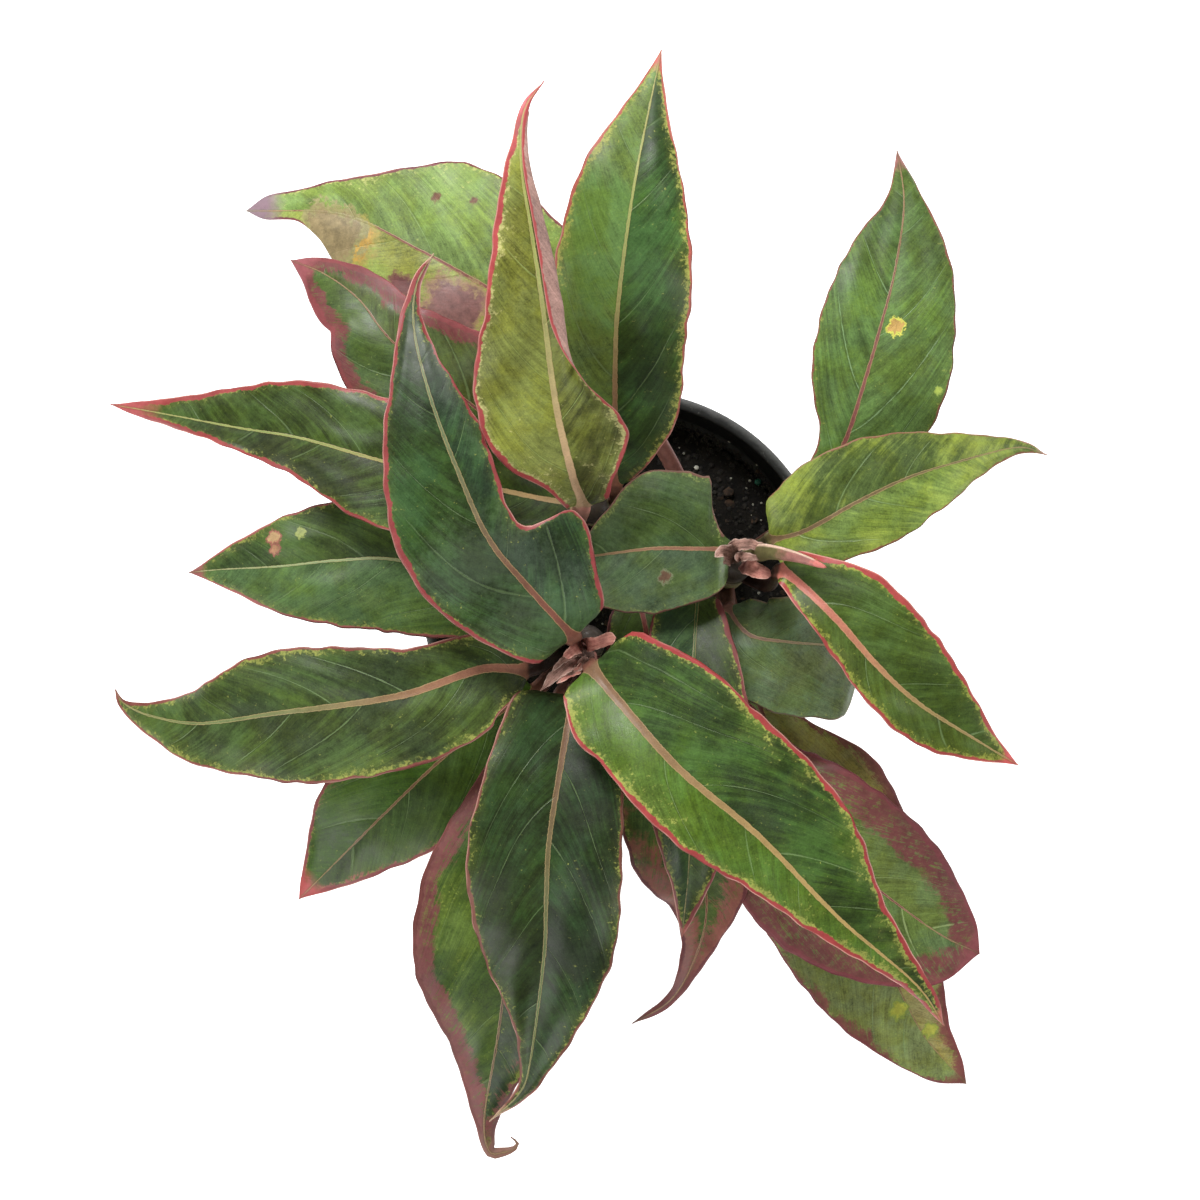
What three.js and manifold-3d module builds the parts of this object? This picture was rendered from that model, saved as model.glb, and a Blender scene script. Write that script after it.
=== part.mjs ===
// A potted chinese evergreen: three canes in one nursery pot, each with a crown of arching leaves.
// Millimetres, +Z up. The origin is the centre of the pot's underside, +X right and +Y to the back.
import * as THREE from "three";
import Module from "manifold-3d";
import { mergeVertices } from "three/addons/utils/BufferGeometryUtils.js";

const wasm = await Module();
wasm.setup();

// ---- Driving dimensions ------------------------------------------------------------------------

const GAP = 0.3;

const POT_HEIGHT = 140;
const POT_RIM_RADIUS = 77.5;
const POT_COLLAR_RADIUS = 74;
const POT_SHOULDER_RADIUS = 70.5;
const POT_BASE_RADIUS = 55;
const POT_WALL = 1.6;
const POT_COLLAR_HEIGHT = 20;
const POT_LIP_DROP = 4;
const POT_LIP_ROUND = 0.8;
const POT_FOOT_ROUND = 1.5;
const POT_SHOULDER_STEP = 2;
const POT_SEGMENTS = 48;
const DRAIN_HOLE_RADIUS = 5;
const DRAIN_HOLE_CIRCLE = 40;
const DRAIN_HOLE_COUNT = 8;
const DRAIN_HOLE_SEGMENTS = 16;

const SOIL_TOP = 118;
const SOIL_MOUND = 3;
const SOIL_EDGE_DROP = 2;
const SOIL_RINGS = 7;
const SOIL_SEGMENTS = 32;

const CANE_FOOT_DEPTH = 28;
const CANE_STATIONS = 12;
const CANE_SEGMENTS = 12;
const CANE_END_BULGE = 2;
const CANE_TIP_SHRINK = 0.72;

// Half-width and half-height of a stalk, and how far the midrib stands below the blade.
const LEAF_STALK = { halfWidth: 2.9, halfHeight: 2.3, rib: 2.2 };
const SCALE_STALK = { halfWidth: 2, halfHeight: 1, rib: 0 };
// The petiole is this much stouter at the cane, over this part of its length.
const PETIOLE_FOOT_SWELL = 1.25;
const PETIOLE_FOOT_PART = 0.4;
const LAMINA_THICKNESS = 0.9;
const LEAST_HALF_WIDTH = 0.25;
const MIDRIB_FADE = 0.75;
const SIDE_PHASE = 0.37;
const SLOPE_STEP = 0.02;
const CURVE_STEPS = 60;
const BASE_CHANNEL_ANGLE = 22;
const BASE_CHANNEL_LENGTH = 0.08;
const BLADE_MORPH_END = 0.06;
// Where a curled half starts to bend and over how much of its width, and where along the blade.
const CURL_START = 0.3;
const CURL_BEND = 0.24;
const CURL_FROM = 0.25;
const CURL_FULL = 0.55;

// Fractions of the blade's length at which each leaf states its half-widths.
const WIDTH_STATIONS = [0.03, 0.1, 0.22, 0.38, 0.55, 0.72, 0.86, 0.95];
// Fractions at which the leaf's solid has a ring, on the petiole and on the blade.
const PETIOLE_RINGS = [0, 0.3, 0.6, 0.85];
const BLADE_RINGS = [0, 0.03, 0.07, 0.14, 0.23, 0.33, 0.43, 0.53, 0.63, 0.73, 0.82, 0.9, 0.96, 0.99];
// Places across the blade, from the left margin (-1) to the right margin (1).
const TOP_PLACES = [-1, -0.5, 0, 0.5, 1];
const BOTTOM_PLACES = [0.5, 0, -0.5];
const ROLLED_STATIONS = 12;
const ROLLED_SEGMENTS = 10;

// ---- Canes -------------------------------------------------------------------------------------

// Each cane runs from its foot in the soil to the growing point at the middle of its crown.
const canes = {
  left: { name: "stem_left", foot: [-19, -23], top: [-14, -16, 196], radius: [8.5, 6] },
  right: { name: "stem_right", foot: [35, 7], top: [39, 12, 196], radius: [9, 6.2] },
  back: { name: "stem_back", foot: [-12, 35], top: [-13, 31, 190], radius: [7.5, 5.6] },
};

// ---- Leaves ------------------------------------------------------------------------------------

// joins: height on the cane where the leaf's petiole starts.
// petiole: points between the cane and the blade. blade: points along the midrib, base to tip.
// left and right: half-widths at the width stations, seen from above looking towards the tip.
// fold: degrees that each half rises from the midrib, left then right. sag: how far margins drop.
// roll: degrees of turn about the midrib at base, middle and tip.
// wave: height of the margin's ripple, ripples along the blade, and where they start.
// curl: degrees that the outer part of each half curls over, left then right.
const leaves = [
  {
    name: "leaf_front_broad", look: "bright", cane: "left", joins: 168,
    petiole: [[-12, -26, 186]],
    blade: [[-13, -24, 232], [-3, -36, 243], [16, -57, 250], [42, -79, 248], [69, -107, 238],
      [97, -132, 221], [109, -149, 208]],
    left: [20, 24, 30, 31, 25, 13, 5, 2.5],
    right: [13, 17, 18, 19, 13, 7, 4, 2],
    fold: [9, 4], sag: 2, roll: [0, 0, 0], wave: [1.2, 2.5, 0.1],
  },
  {
    name: "leaf_left_broad", look: "dark", cane: "left", joins: 176,
    petiole: [[-23, -13, 192]],
    blade: [[-19, -14, 234], [-34, 3, 248], [-46, 18, 255], [-55, 38, 260], [-64, 62, 261],
      [-70, 85, 256], [-70, 101, 248], [-65, 113, 240]],
    left: [13, 20, 26, 28, 21, 9.5, 3, 1.5],
    right: [13, 20, 28, 13, 12, 6, 2, 1],
    fold: [4, 6], sag: 2, roll: [0, 0, 0], wave: [1, 2, 0.4],
  },
  {
    name: "leaf_left_lance", look: "green", cane: "left", joins: 160,
    petiole: [[-25, -21, 182]],
    blade: [[-34, -25, 220], [-50, -25, 228], [-74, -33, 232], [-97, -37, 230], [-120, -40, 225],
      [-147, -44, 214], [-166, -42, 204], [-177, -38, 197], [-181, -33, 194]],
    left: [8, 18, 23, 25, 24, 16, 8, 3],
    right: [8, 12, 14, 19, 21, 14, 6, 1.5],
    fold: [5, 5], sag: 2, roll: [0, 0, 0], wave: [1.2, 3, 0],
  },
  {
    name: "leaf_front_long", look: "dark", cane: "left", joins: 152,
    petiole: [[-17, -30, 182]],
    blade: [[-19, -34, 220], [-23, -56, 231], [-27, -82, 235], [-28, -102, 233], [-29, -123, 228],
      [-34, -160, 211], [-38, -173, 204], [-49, -185, 196]],
    left: [14, 19, 23, 25, 23, 14, 5, 1.5],
    right: [17, 22, 25, 27, 21, 8, 2.5, 1],
    fold: [6, 6], sag: 2, roll: [0, 0, 0], wave: [1.2, 2.5, 0.3],
  },
  {
    name: "leaf_left_short", look: "bright", cane: "left", joins: 136,
    petiole: [[-26, -27, 156]],
    blade: [[-33, -34, 180], [-46, -42, 187], [-65, -57, 191], [-86, -77, 190], [-104, -95, 183],
      [-119, -110, 174]],
    left: [8, 14, 20, 24, 22, 15, 8, 3],
    right: [8, 14, 20, 26, 25, 20, 11, 4.5],
    fold: [5, 5], sag: 2, roll: [0, 0, 0], wave: [1, 2.5, 0.2],
  },
  {
    name: "leaf_front_maroon", look: "maroon", cane: "left", joins: 146,
    petiole: [[-20, -31.5, 168]],
    blade: [[-25, -38, 196], [-33, -71, 209], [-41, -105, 213], [-43, -134, 210], [-46, -156, 204],
      [-50, -178, 196], [-51, -190, 191], [-49, -198, 188], [-45, -201.5, 186], [-41, -200, 185],
      [-39.5, -196.5, 185], [-42, -193.5, 185]],
    left: [10, 16, 24, 30, 26, 12, 4.5, 1.5],
    right: [10, 15, 23, 31, 30, 14, 3, 1.5],
    fold: [6, 6], sag: 2.5, roll: [0, 0, 0], wave: [1.5, 2.5, 0.6],
  },
  {
    name: "leaf_left_spotted", look: "dark", cane: "left", joins: 148,
    petiole: [[-24, -12, 168]],
    blade: [[-27, -5, 194], [-45, 3, 205], [-79, 12, 210], [-100, 12, 209], [-121, 10, 206],
      [-142, 9, 200], [-155, 8, 194]],
    left: [8, 14, 21, 25, 24, 18, 9, 3],
    right: [8, 14, 20, 22, 21, 17, 9, 3],
    fold: [5, 5], sag: 2, roll: [0, 0, 0], wave: [1, 2.5, 0.8],
  },
  {
    name: "leaf_back_folded", look: "olive", cane: "back", joins: 162,
    petiole: [[-19, 24, 184]],
    blade: [[-16, 30, 228], [-19, 39, 242], [-24, 60, 264], [-28, 91, 286], [-31, 111, 293],
      [-34, 131, 297], [-33, 147, 296], [-27, 157, 293]],
    left: [5, 9, 22, 25, 18, 10.5, 3, 1.2],
    right: [8, 14, 21, 14, 14, 9.5, 4, 1.5],
    fold: [8, 10], sag: 1, roll: [0, 0, 0], wave: [1, 2, 0.2], curl: [0, 130],
  },
  {
    name: "leaf_back_tall", look: "green", cane: "back", joins: 146,
    petiole: [[-4, 35, 170]],
    blade: [[-5, 38, 194], [-5, 50, 211], [-5, 64, 226], [-5, 78, 238], [-4, 96, 249],
      [1, 132, 259], [10, 178, 249]],
    left: [6, 12, 18, 23, 22, 18, 9, 3],
    right: [5, 12, 21, 23, 23, 16, 7, 2],
    fold: [7, 7], sag: 2, roll: [0, 0, 0], wave: [1.2, 2.5, 0.5],
  },
  {
    name: "leaf_left_slender", look: "dark", cane: "back", joins: 156,
    petiole: [[-22, 33, 180]],
    blade: [[-20, 32, 206], [-30, 33, 216], [-50, 37, 224], [-83, 45, 227], [-111, 53, 223],
      [-133, 57, 217], [-162, 63, 206], [-182, 67, 197]],
    left: [7, 13, 19, 22, 14, 7, 4, 2],
    right: [7, 13, 19, 21, 20, 14, 6, 2],
    fold: [5, 5], sag: 2, roll: [0, 0, 0], wave: [1.2, 3, 0.1],
  },
  {
    name: "leaf_back_maroon", look: "maroon", cane: "back", joins: 140,
    petiole: [[-22, 40, 168]],
    blade: [[-27, 43, 192], [-52, 64, 203], [-81, 87, 205], [-94, 103, 201], [-107, 113, 195],
      [-120, 119, 188]],
    left: [6, 12, 19, 23, 21, 18, 11, 4],
    right: [6, 12, 19, 22, 17, 12, 7, 3],
    fold: [5, 5], sag: 2, roll: [0, 0, 0], wave: [1, 2, 0.7],
  },
  {
    name: "leaf_front_hooked", look: "maroon", cane: "back", joins: 130,
    petiole: [[-7, 20, 144]],
    blade: [[3, 2, 162], [8, -20, 171], [12, -45, 176], [18, -72, 177], [26, -97, 172],
      [29, -114, 165], [26, -132, 156], [17, -151, 146], [2, -162, 139]],
    left: [9, 15, 20, 24, 22, 8, 2.5, 1.5],
    right: [10, 15, 18, 21, 23, 9, 3, 1.5],
    fold: [6, 6], sag: 2, roll: [0, 0, 0], wave: [1, 2, 0.3],
  },
  {
    name: "leaf_back_scorched", look: "olive", cane: "right", joins: 142,
    petiole: [[27, 24, 160], [15, 49, 174]],
    blade: [[-8, 84, 182], [-31, 99, 186], [-52, 110, 187], [-74, 122, 184], [-103, 133, 178],
      [-139, 139, 169]],
    left: [8, 16, 26, 28, 24, 13, 5, 2.5],
    right: [8, 18, 30, 38, 34, 20, 12, 6],
    fold: [3, 3], sag: 2, roll: [0, 0, 0], wave: [1.5, 2.5, 0.2],
  },
  {
    name: "leaf_right_ringspot", look: "green", cane: "right", joins: 146,
    petiole: [[48, 18, 166]],
    blade: [[58, 27, 186], [74, 50, 197], [82, 74, 202], [88, 95, 203], [93, 114, 201],
      [97, 138, 194], [96, 159, 184]],
    left: [6, 8, 11, 18, 21, 16, 6, 2],
    right: [6, 12, 22, 28, 26, 18, 7, 2.5],
    fold: [5, 5], sag: 2, roll: [0, 0, 0], wave: [1, 2.5, 0.9],
  },
  {
    name: "leaf_right_pointed", look: "green", cane: "right", joins: 164,
    petiole: [[50, 19, 188]],
    blade: [[49, 19, 211], [60, 22, 219], [78, 32, 223], [95, 40, 222], [114, 46, 217],
      [134, 51, 208], [146, 49, 201]],
    left: [8, 14, 20, 19, 14, 8, 3.5, 1.5],
    right: [8, 12, 16, 18, 14, 7, 3, 1],
    fold: [5, 5], sag: 1.5, roll: [0, 0, 0], wave: [1, 2.5, 0.4],
  },
  {
    name: "leaf_right_front", look: "green", cane: "right", joins: 168,
    petiole: [[49, 4, 188]],
    blade: [[51, 8, 222], [58, 3, 227], [69, -8, 231], [84, -25, 231], [98, -37, 226],
      [116, -48, 217], [135, -59, 206]],
    left: [8, 13, 20, 22, 20, 13, 6, 2],
    right: [4, 6, 8, 10, 12, 11, 6, 2],
    fold: [6, 6], sag: 1.5, roll: [0, 0, 0], wave: [1, 2.5, 0.6],
  },
  {
    name: "leaf_centre_creased", look: "dark", cane: "right", joins: 166,
    petiole: [[30, 14, 186]],
    blade: [[32, 16, 205], [22, 16, 210], [8, 16, 212], [-9, 14, 208], [-24, 12, 201], [-38, 10, 192]],
    left: [14, 18, 21, 22, 20, 15, 8, 3],
    right: [12, 24, 28, 26, 15, 4, 4, 2.5],
    fold: [3, 3], sag: 2, roll: [0, 0, 0], wave: [0.8, 2, 0.1],
  },
  {
    name: "leaf_right_blunt", look: "dark", cane: "right", joins: 142,
    petiole: [[37, -3, 160]],
    blade: [[36, -5, 180], [43, -13, 188], [56, -18, 189], [70, -25, 183], [79, -34, 175],
      [83, -42, 168]],
    left: [10, 18, 22, 22, 20, 16, 12, 7],
    right: [6, 12, 20, 25, 27, 24, 17, 10],
    fold: [3, 3], sag: 3, roll: [0, 0, 0], wave: [1, 2, 0.3],
  },
  {
    name: "leaf_centre_narrow", look: "dark", cane: "right", joins: 152,
    petiole: [[29, 4, 172]],
    blade: [[25, 2, 192], [23, -16, 201], [22, -43, 206], [21, -71, 205], [21, -94, 200],
      [19, -121, 190]],
    left: [7, 11, 16, 20, 19, 13, 7, 3],
    right: [8, 15, 16, 18, 16, 11, 5, 2],
    fold: [6, 6], sag: 1.5, roll: [0, 0, 0], wave: [1, 2.5, 0.5],
  },
  {
    name: "leaf_front_right_maroon", look: "maroon", cane: "right", joins: 132,
    petiole: [[35, -16, 142]],
    blade: [[34, -36, 149], [46, -69, 159], [70, -91, 163], [92, -108, 161], [115, -125, 155],
      [132, -134, 148]],
    left: [8, 14, 21, 27, 29, 26, 18, 10],
    right: [8, 14, 24, 33, 38, 34, 24, 13],
    fold: [4, 4], sag: 2.5, roll: [0, 0, 0], wave: [1.5, 2, 0.2],
  },
  {
    name: "leaf_front_right_low", look: "maroon", cane: "right", joins: 126,
    petiole: [[42, -14, 136]],
    blade: [[48, -36, 143], [64, -76, 150], [83, -114, 147], [99, -141, 141], [113, -167, 134],
      [131, -188, 125]],
    left: [8, 15, 31, 33, 26, 18, 10, 5],
    right: [8, 15, 27, 32, 32, 27, 15, 8],
    fold: [4, 4], sag: 2, roll: [0, 0, 0], wave: [1.5, 2, 0.5],
  },
];

// ---- Small pieces at the crowns ----------------------------------------------------------------

// Papery scales and sheath tips are made like small leaves without a midrib.
const scaleWidths = [2.4, 3, 3.6, 3.8, 3.4, 2.6, 1.7, 1];
const crownScales = [
  {
    name: "sheath_tip_left", look: "pink", cane: "left", joins: 188,
    petiole: [], blade: [[-13, -15, 206], [-12, -15, 216], [-9, -15, 222], [-4, -14, 226]],
    left: scaleWidths, right: scaleWidths,
    fold: [8, 8], sag: 0, roll: [0, 0, 0], wave: [0.5, 2, 0],
  },
  {
    name: "dry_scale_left", look: "dry", cane: "left", joins: 184,
    petiole: [], blade: [[-20, -22, 204], [-21, -23, 220], [-25, -27, 231], [-31, -33, 236]],
    left: scaleWidths, right: scaleWidths,
    fold: [10, 4], sag: 0, roll: [0, 0, 0], wave: [0.8, 2, 0.3],
  },
  {
    name: "sheath_tip_right", look: "pink", cane: "right", joins: 188,
    petiole: [], blade: [[40, 8, 204], [43, 7, 209], [46, 7, 212]],
    left: scaleWidths, right: scaleWidths,
    fold: [8, 8], sag: 0, roll: [0, 0, 0], wave: [0.5, 2, 0.2],
  },
  {
    name: "dry_scale_right", look: "dry", cane: "right", joins: 184,
    petiole: [], blade: [[36.5, 13, 205], [34.5, 14, 213], [31.5, 14.6, 219], [27.5, 14.8, 222]],
    left: scaleWidths, right: scaleWidths,
    fold: [10, 4], sag: 0, roll: [0, 0, 0], wave: [0.8, 2, 0.6],
  },
];

// The next leaf of the right crown, still rolled. radius: at the width stations.
const rolledLeaf = {
  name: "leaf_right_rolled", look: "pink", cane: "right", joins: 186,
  petiole: [[43.8, 14.6, 202]],
  blade: [[45, 14.5, 216], [48, 14.5, 228], [56, 12.5, 236], [65, 9, 240]],
  radius: [2.6, 2.9, 3.2, 3.4, 3.2, 2.7, 1.9, 1.2],
};

// ---- Solids ------------------------------------------------------------------------------------

function vector(point) {
  return new THREE.Vector3(point[0], point[1], point[2]);
}

function mix(a, b, amount) {
  return a + (b - a) * amount;
}

function smoothstep(edge, value) {
  const t = THREE.MathUtils.clamp(value / edge, 0, 1);
  return t * t * (3 - 2 * t);
}

// A smooth curve through values stated at uneven places.
function smoothAt(places, values, at) {
  let i = 0;
  while (i < places.length - 2 && at > places[i + 1]) i += 1;
  const slope = (k) => {
    const a = Math.max(k - 1, 0);
    const b = Math.min(k + 1, places.length - 1);
    return (values[b] - values[a]) / (places[b] - places[a]);
  };
  const span = places[i + 1] - places[i];
  const t = (at - places[i]) / span;
  const t2 = t * t;
  const t3 = t2 * t;
  return (2 * t3 - 3 * t2 + 1) * values[i] + (t3 - 2 * t2 + t) * span * slope(i)
    + (3 * t2 - 2 * t3) * values[i + 1] + (t3 - t2) * span * slope(i + 1);
}

// A closed solid through rings of points, each seen running anticlockwise from the far end.
// A leaf's ring runs over its upper face and back beneath: the second half of each band is split
// along the mirrored diagonal, so that the two faces of a thin blade never cross near the margin.
function solidFromRings(rings, startCap, endCap) {
  const count = rings[0].length;
  const points = [startCap, ...rings.flat(), endCap];
  const last = points.length - 1;
  const faces = [];
  for (let i = 0; i < count; i += 1) {
    const j = (i + 1) % count;
    faces.push(0, 1 + j, 1 + i);
    for (let r = 0; r + 1 < rings.length; r += 1) {
      const near = 1 + r * count;
      const far = near + count;
      if (i < count / 2) faces.push(near + i, near + j, far + j, near + i, far + j, far + i);
      else faces.push(near + i, near + j, far + i, near + j, far + j, far + i);
    }
    const end = 1 + (rings.length - 1) * count;
    faces.push(last, end + i, end + j);
  }
  const positions = points.flatMap((point) => point.toArray());
  const geometry = new THREE.BufferGeometry();
  geometry.setAttribute("position", new THREE.Float32BufferAttribute(positions, 3));
  geometry.setIndex(faces);
  return geometry;
}

function toManifold(geometry) {
  const bare = geometry.clone();
  bare.deleteAttribute("normal");
  bare.deleteAttribute("uv");
  const merged = mergeVertices(bare, 1e-4);
  return new wasm.Manifold(new wasm.Mesh({
    numProp: 3,
    vertProperties: new Float32Array(merged.attributes.position.array),
    triVerts: new Uint32Array(merged.index.array),
  }));
}

function toGeometry(manifold) {
  const mesh = manifold.getMesh();
  const geometry = new THREE.BufferGeometry();
  geometry.setAttribute("position", new THREE.BufferAttribute(mesh.vertProperties, 3));
  geometry.setIndex(new THREE.BufferAttribute(mesh.triVerts, 1));
  return geometry;
}

// ---- Cane --------------------------------------------------------------------------------------

function caneAxis(cane) {
  const foot = new THREE.Vector3(cane.foot[0], cane.foot[1], SOIL_TOP - CANE_FOOT_DEPTH);
  return new THREE.LineCurve3(foot, vector(cane.top));
}

function caneAxisAt(cane, height) {
  const axis = caneAxis(cane);
  return axis.getPoint((height - axis.v1.z) / (axis.v2.z - axis.v1.z));
}

// The cane's solid, made thicker all round by the given clearance.
function caneGeometry(cane, clearance) {
  const axis = caneAxis(cane);
  const rings = [];
  for (let k = 0; k <= CANE_STATIONS; k += 1) {
    const along = k / CANE_STATIONS;
    const centre = axis.getPoint(along);
    const shrink = k === CANE_STATIONS ? CANE_TIP_SHRINK : 1;
    const radius = mix(cane.radius[0], cane.radius[1], along) * shrink + clearance;
    const ring = [];
    for (let i = 0; i < CANE_SEGMENTS; i += 1) {
      const angle = (i / CANE_SEGMENTS) * 2 * Math.PI;
      ring.push(new THREE.Vector3(radius * Math.cos(angle), radius * Math.sin(angle), 0).add(centre));
    }
    rings.push(ring);
  }
  const bulge = new THREE.Vector3(0, 0, CANE_END_BULGE + clearance);
  return solidFromRings(rings, axis.getPoint(0).sub(bulge), axis.getPoint(1).add(bulge));
}

// ---- Leaf --------------------------------------------------------------------------------------

const UP = new THREE.Vector3(0, 0, 1);

// The blade's upper face in cross-section: how far out from the midrib and up a place lies.
function bladeSection(leaf, place, halfWidth, along) {
  const side = place < 0 ? 0 : 1;
  const spread = Math.abs(place);
  const run = spread * halfWidth;
  const curl = THREE.MathUtils.degToRad(leaf.curl ? leaf.curl[side] : 0)
    * smoothstep(CURL_FULL - CURL_FROM, along - CURL_FROM);
  let out = run;
  let rise = 0;
  if (curl > 0 && run > CURL_START * halfWidth) {
    const bend = CURL_BEND * halfWidth;
    const past = run - CURL_START * halfWidth;
    const turned = Math.min(past / bend, 1) * curl;
    const straight = Math.max(past - bend, 0);
    out = CURL_START * halfWidth + (bend / curl) * Math.sin(turned) + straight * Math.cos(curl);
    rise = (bend / curl) * (1 - Math.cos(turned)) + straight * Math.sin(curl);
  }
  const channel = BASE_CHANNEL_ANGLE * Math.exp(-along / BASE_CHANNEL_LENGTH);
  const fold = THREE.MathUtils.degToRad(leaf.fold[side] + channel);
  const [height, ripples, start] = leaf.wave;
  const swell = Math.sqrt(Math.max(Math.sin(Math.PI * along), 0));
  const phase = 2 * Math.PI * (ripples * along + start + SIDE_PHASE * side);
  rise += out * Math.tan(fold) + swell * spread * spread * (height * Math.sin(phase) - leaf.sag);
  return [Math.sign(place) * out, rise];
}

// The solid of a leaf, or of a crown scale: a stalk that flattens into a thin folded blade.
function leafSolid(leaf, stalk) {
  const cane = canes[leaf.cane];
  const points = [caneAxisAt(cane, leaf.joins), ...leaf.petiole.map(vector), ...leaf.blade.map(vector)];
  const curve = new THREE.CatmullRomCurve3(points, false, "catmullrom", 0.5);
  const steps = CURVE_STEPS * (points.length - 1);
  curve.arcLengthDivisions = steps;
  const lengths = curve.getLengths(steps);
  const bladeStart = lengths[CURVE_STEPS * (1 + leaf.petiole.length)] / lengths[steps];

  const widthPlaces = [0, ...WIDTH_STATIONS, 1];
  const halfWidths = [leaf.left, leaf.right].map((side) => [stalk.halfWidth, ...side, 0]);
  const baseSide = curve.getTangentAt(bladeStart).cross(UP).normalize();

  const ringAt = (fraction, along) => {
    const centre = curve.getPointAt(fraction);
    const tangent = curve.getTangentAt(fraction);
    const right = fraction > bladeStart
      ? tangent.clone().cross(UP).normalize()
      : baseSide.clone().addScaledVector(tangent, -baseSide.dot(tangent)).normalize();
    right.applyAxisAngle(tangent, THREE.MathUtils.degToRad(smoothAt([0, 0.5, 1], leaf.roll, along)));
    const up = right.clone().cross(tangent);
    const flattened = smoothstep(BLADE_MORPH_END, along);
    const swell = mix(PETIOLE_FOOT_SWELL, 1, smoothstep(PETIOLE_FOOT_PART, fraction / bladeStart));

    const facePoint = (place, under) => {
      const halfWidth = Math.max(smoothAt(widthPlaces, halfWidths[place < 0 ? 0 : 1], along),
        LEAST_HALF_WIDTH);
      const angle = (1 - Math.abs(place)) * Math.PI / 2;
      const stalkOut = Math.sign(place) * Math.cos(angle) * stalk.halfWidth * swell;
      const stalkUp = Math.sin(angle) * stalk.halfHeight * swell * (under ? -1 : 1);
      let [out, rise] = bladeSection(leaf, place, halfWidth, along);
      if (under) {
        const [nextOut, nextRise] = bladeSection(leaf, place + SLOPE_STEP, halfWidth, along);
        const slope = Math.atan2(nextRise - rise, nextOut - out);
        const rib = place === 0 ? stalk.rib * (1 - MIDRIB_FADE * along) : 0;
        const depth = Math.min(LAMINA_THICKNESS + rib, 3 * halfWidth);
        out += depth * Math.sin(place === 0 ? 0 : slope);
        rise -= depth * Math.cos(place === 0 ? 0 : slope);
      }
      return centre.clone()
        .addScaledVector(right, mix(stalkOut, out, flattened))
        .addScaledVector(up, mix(stalkUp, rise, flattened));
    };
    return [
      ...TOP_PLACES.map((place) => facePoint(place, false)),
      ...BOTTOM_PLACES.map((place) => facePoint(place, true)),
    ];
  };

  const rings = [
    ...PETIOLE_RINGS.map((part) => ringAt(part * bladeStart, 0)),
    ...BLADE_RINGS.map((along) => ringAt(mix(bladeStart, 1, along), along)),
  ];
  return toManifold(solidFromRings(rings, curve.getPointAt(0), curve.getPointAt(1)));
}

// A leaf that has not unrolled yet: a round tapering spindle.
function rolledSolid(leaf) {
  const cane = canes[leaf.cane];
  const points = [caneAxisAt(cane, leaf.joins), ...leaf.petiole.map(vector), ...leaf.blade.map(vector)];
  const curve = new THREE.CatmullRomCurve3(points, false, "catmullrom", 0.5);
  const side = curve.getTangentAt(0.5).cross(UP).normalize();
  const rings = [];
  for (let k = 0; k < ROLLED_STATIONS; k += 1) {
    const along = k / ROLLED_STATIONS;
    const centre = curve.getPointAt(along);
    const tangent = curve.getTangentAt(along);
    const right = side.clone().addScaledVector(tangent, -side.dot(tangent)).normalize();
    const up = right.clone().cross(tangent);
    const radius = smoothAt([0, ...WIDTH_STATIONS, 1], [leaf.radius[0], ...leaf.radius, 0.4], along);
    const ring = [];
    for (let i = 0; i < ROLLED_SEGMENTS; i += 1) {
      const angle = -(i / ROLLED_SEGMENTS) * 2 * Math.PI;
      ring.push(centre.clone()
        .addScaledVector(right, radius * Math.cos(angle))
        .addScaledVector(up, radius * Math.sin(angle)));
    }
    rings.push(ring);
  }
  return toManifold(solidFromRings(rings, curve.getPointAt(0), curve.getPointAt(1)));
}

// Cuts away what lies in the cane, so that the piece meets the cane's side at a hair's gap.
function seatOnCane(solid, cane) {
  return solid.subtract(toManifold(caneGeometry(cane, GAP)));
}

// ---- Pot and soil ------------------------------------------------------------------------------

// Turns an outline of [radius, height] points about the pot's axis.
function turned(outline, segments) {
  const geometry = new THREE.LatheGeometry(outline.map(([r, z]) => new THREE.Vector2(r, z)), segments);
  geometry.rotateX(Math.PI / 2);
  return toManifold(geometry);
}

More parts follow.
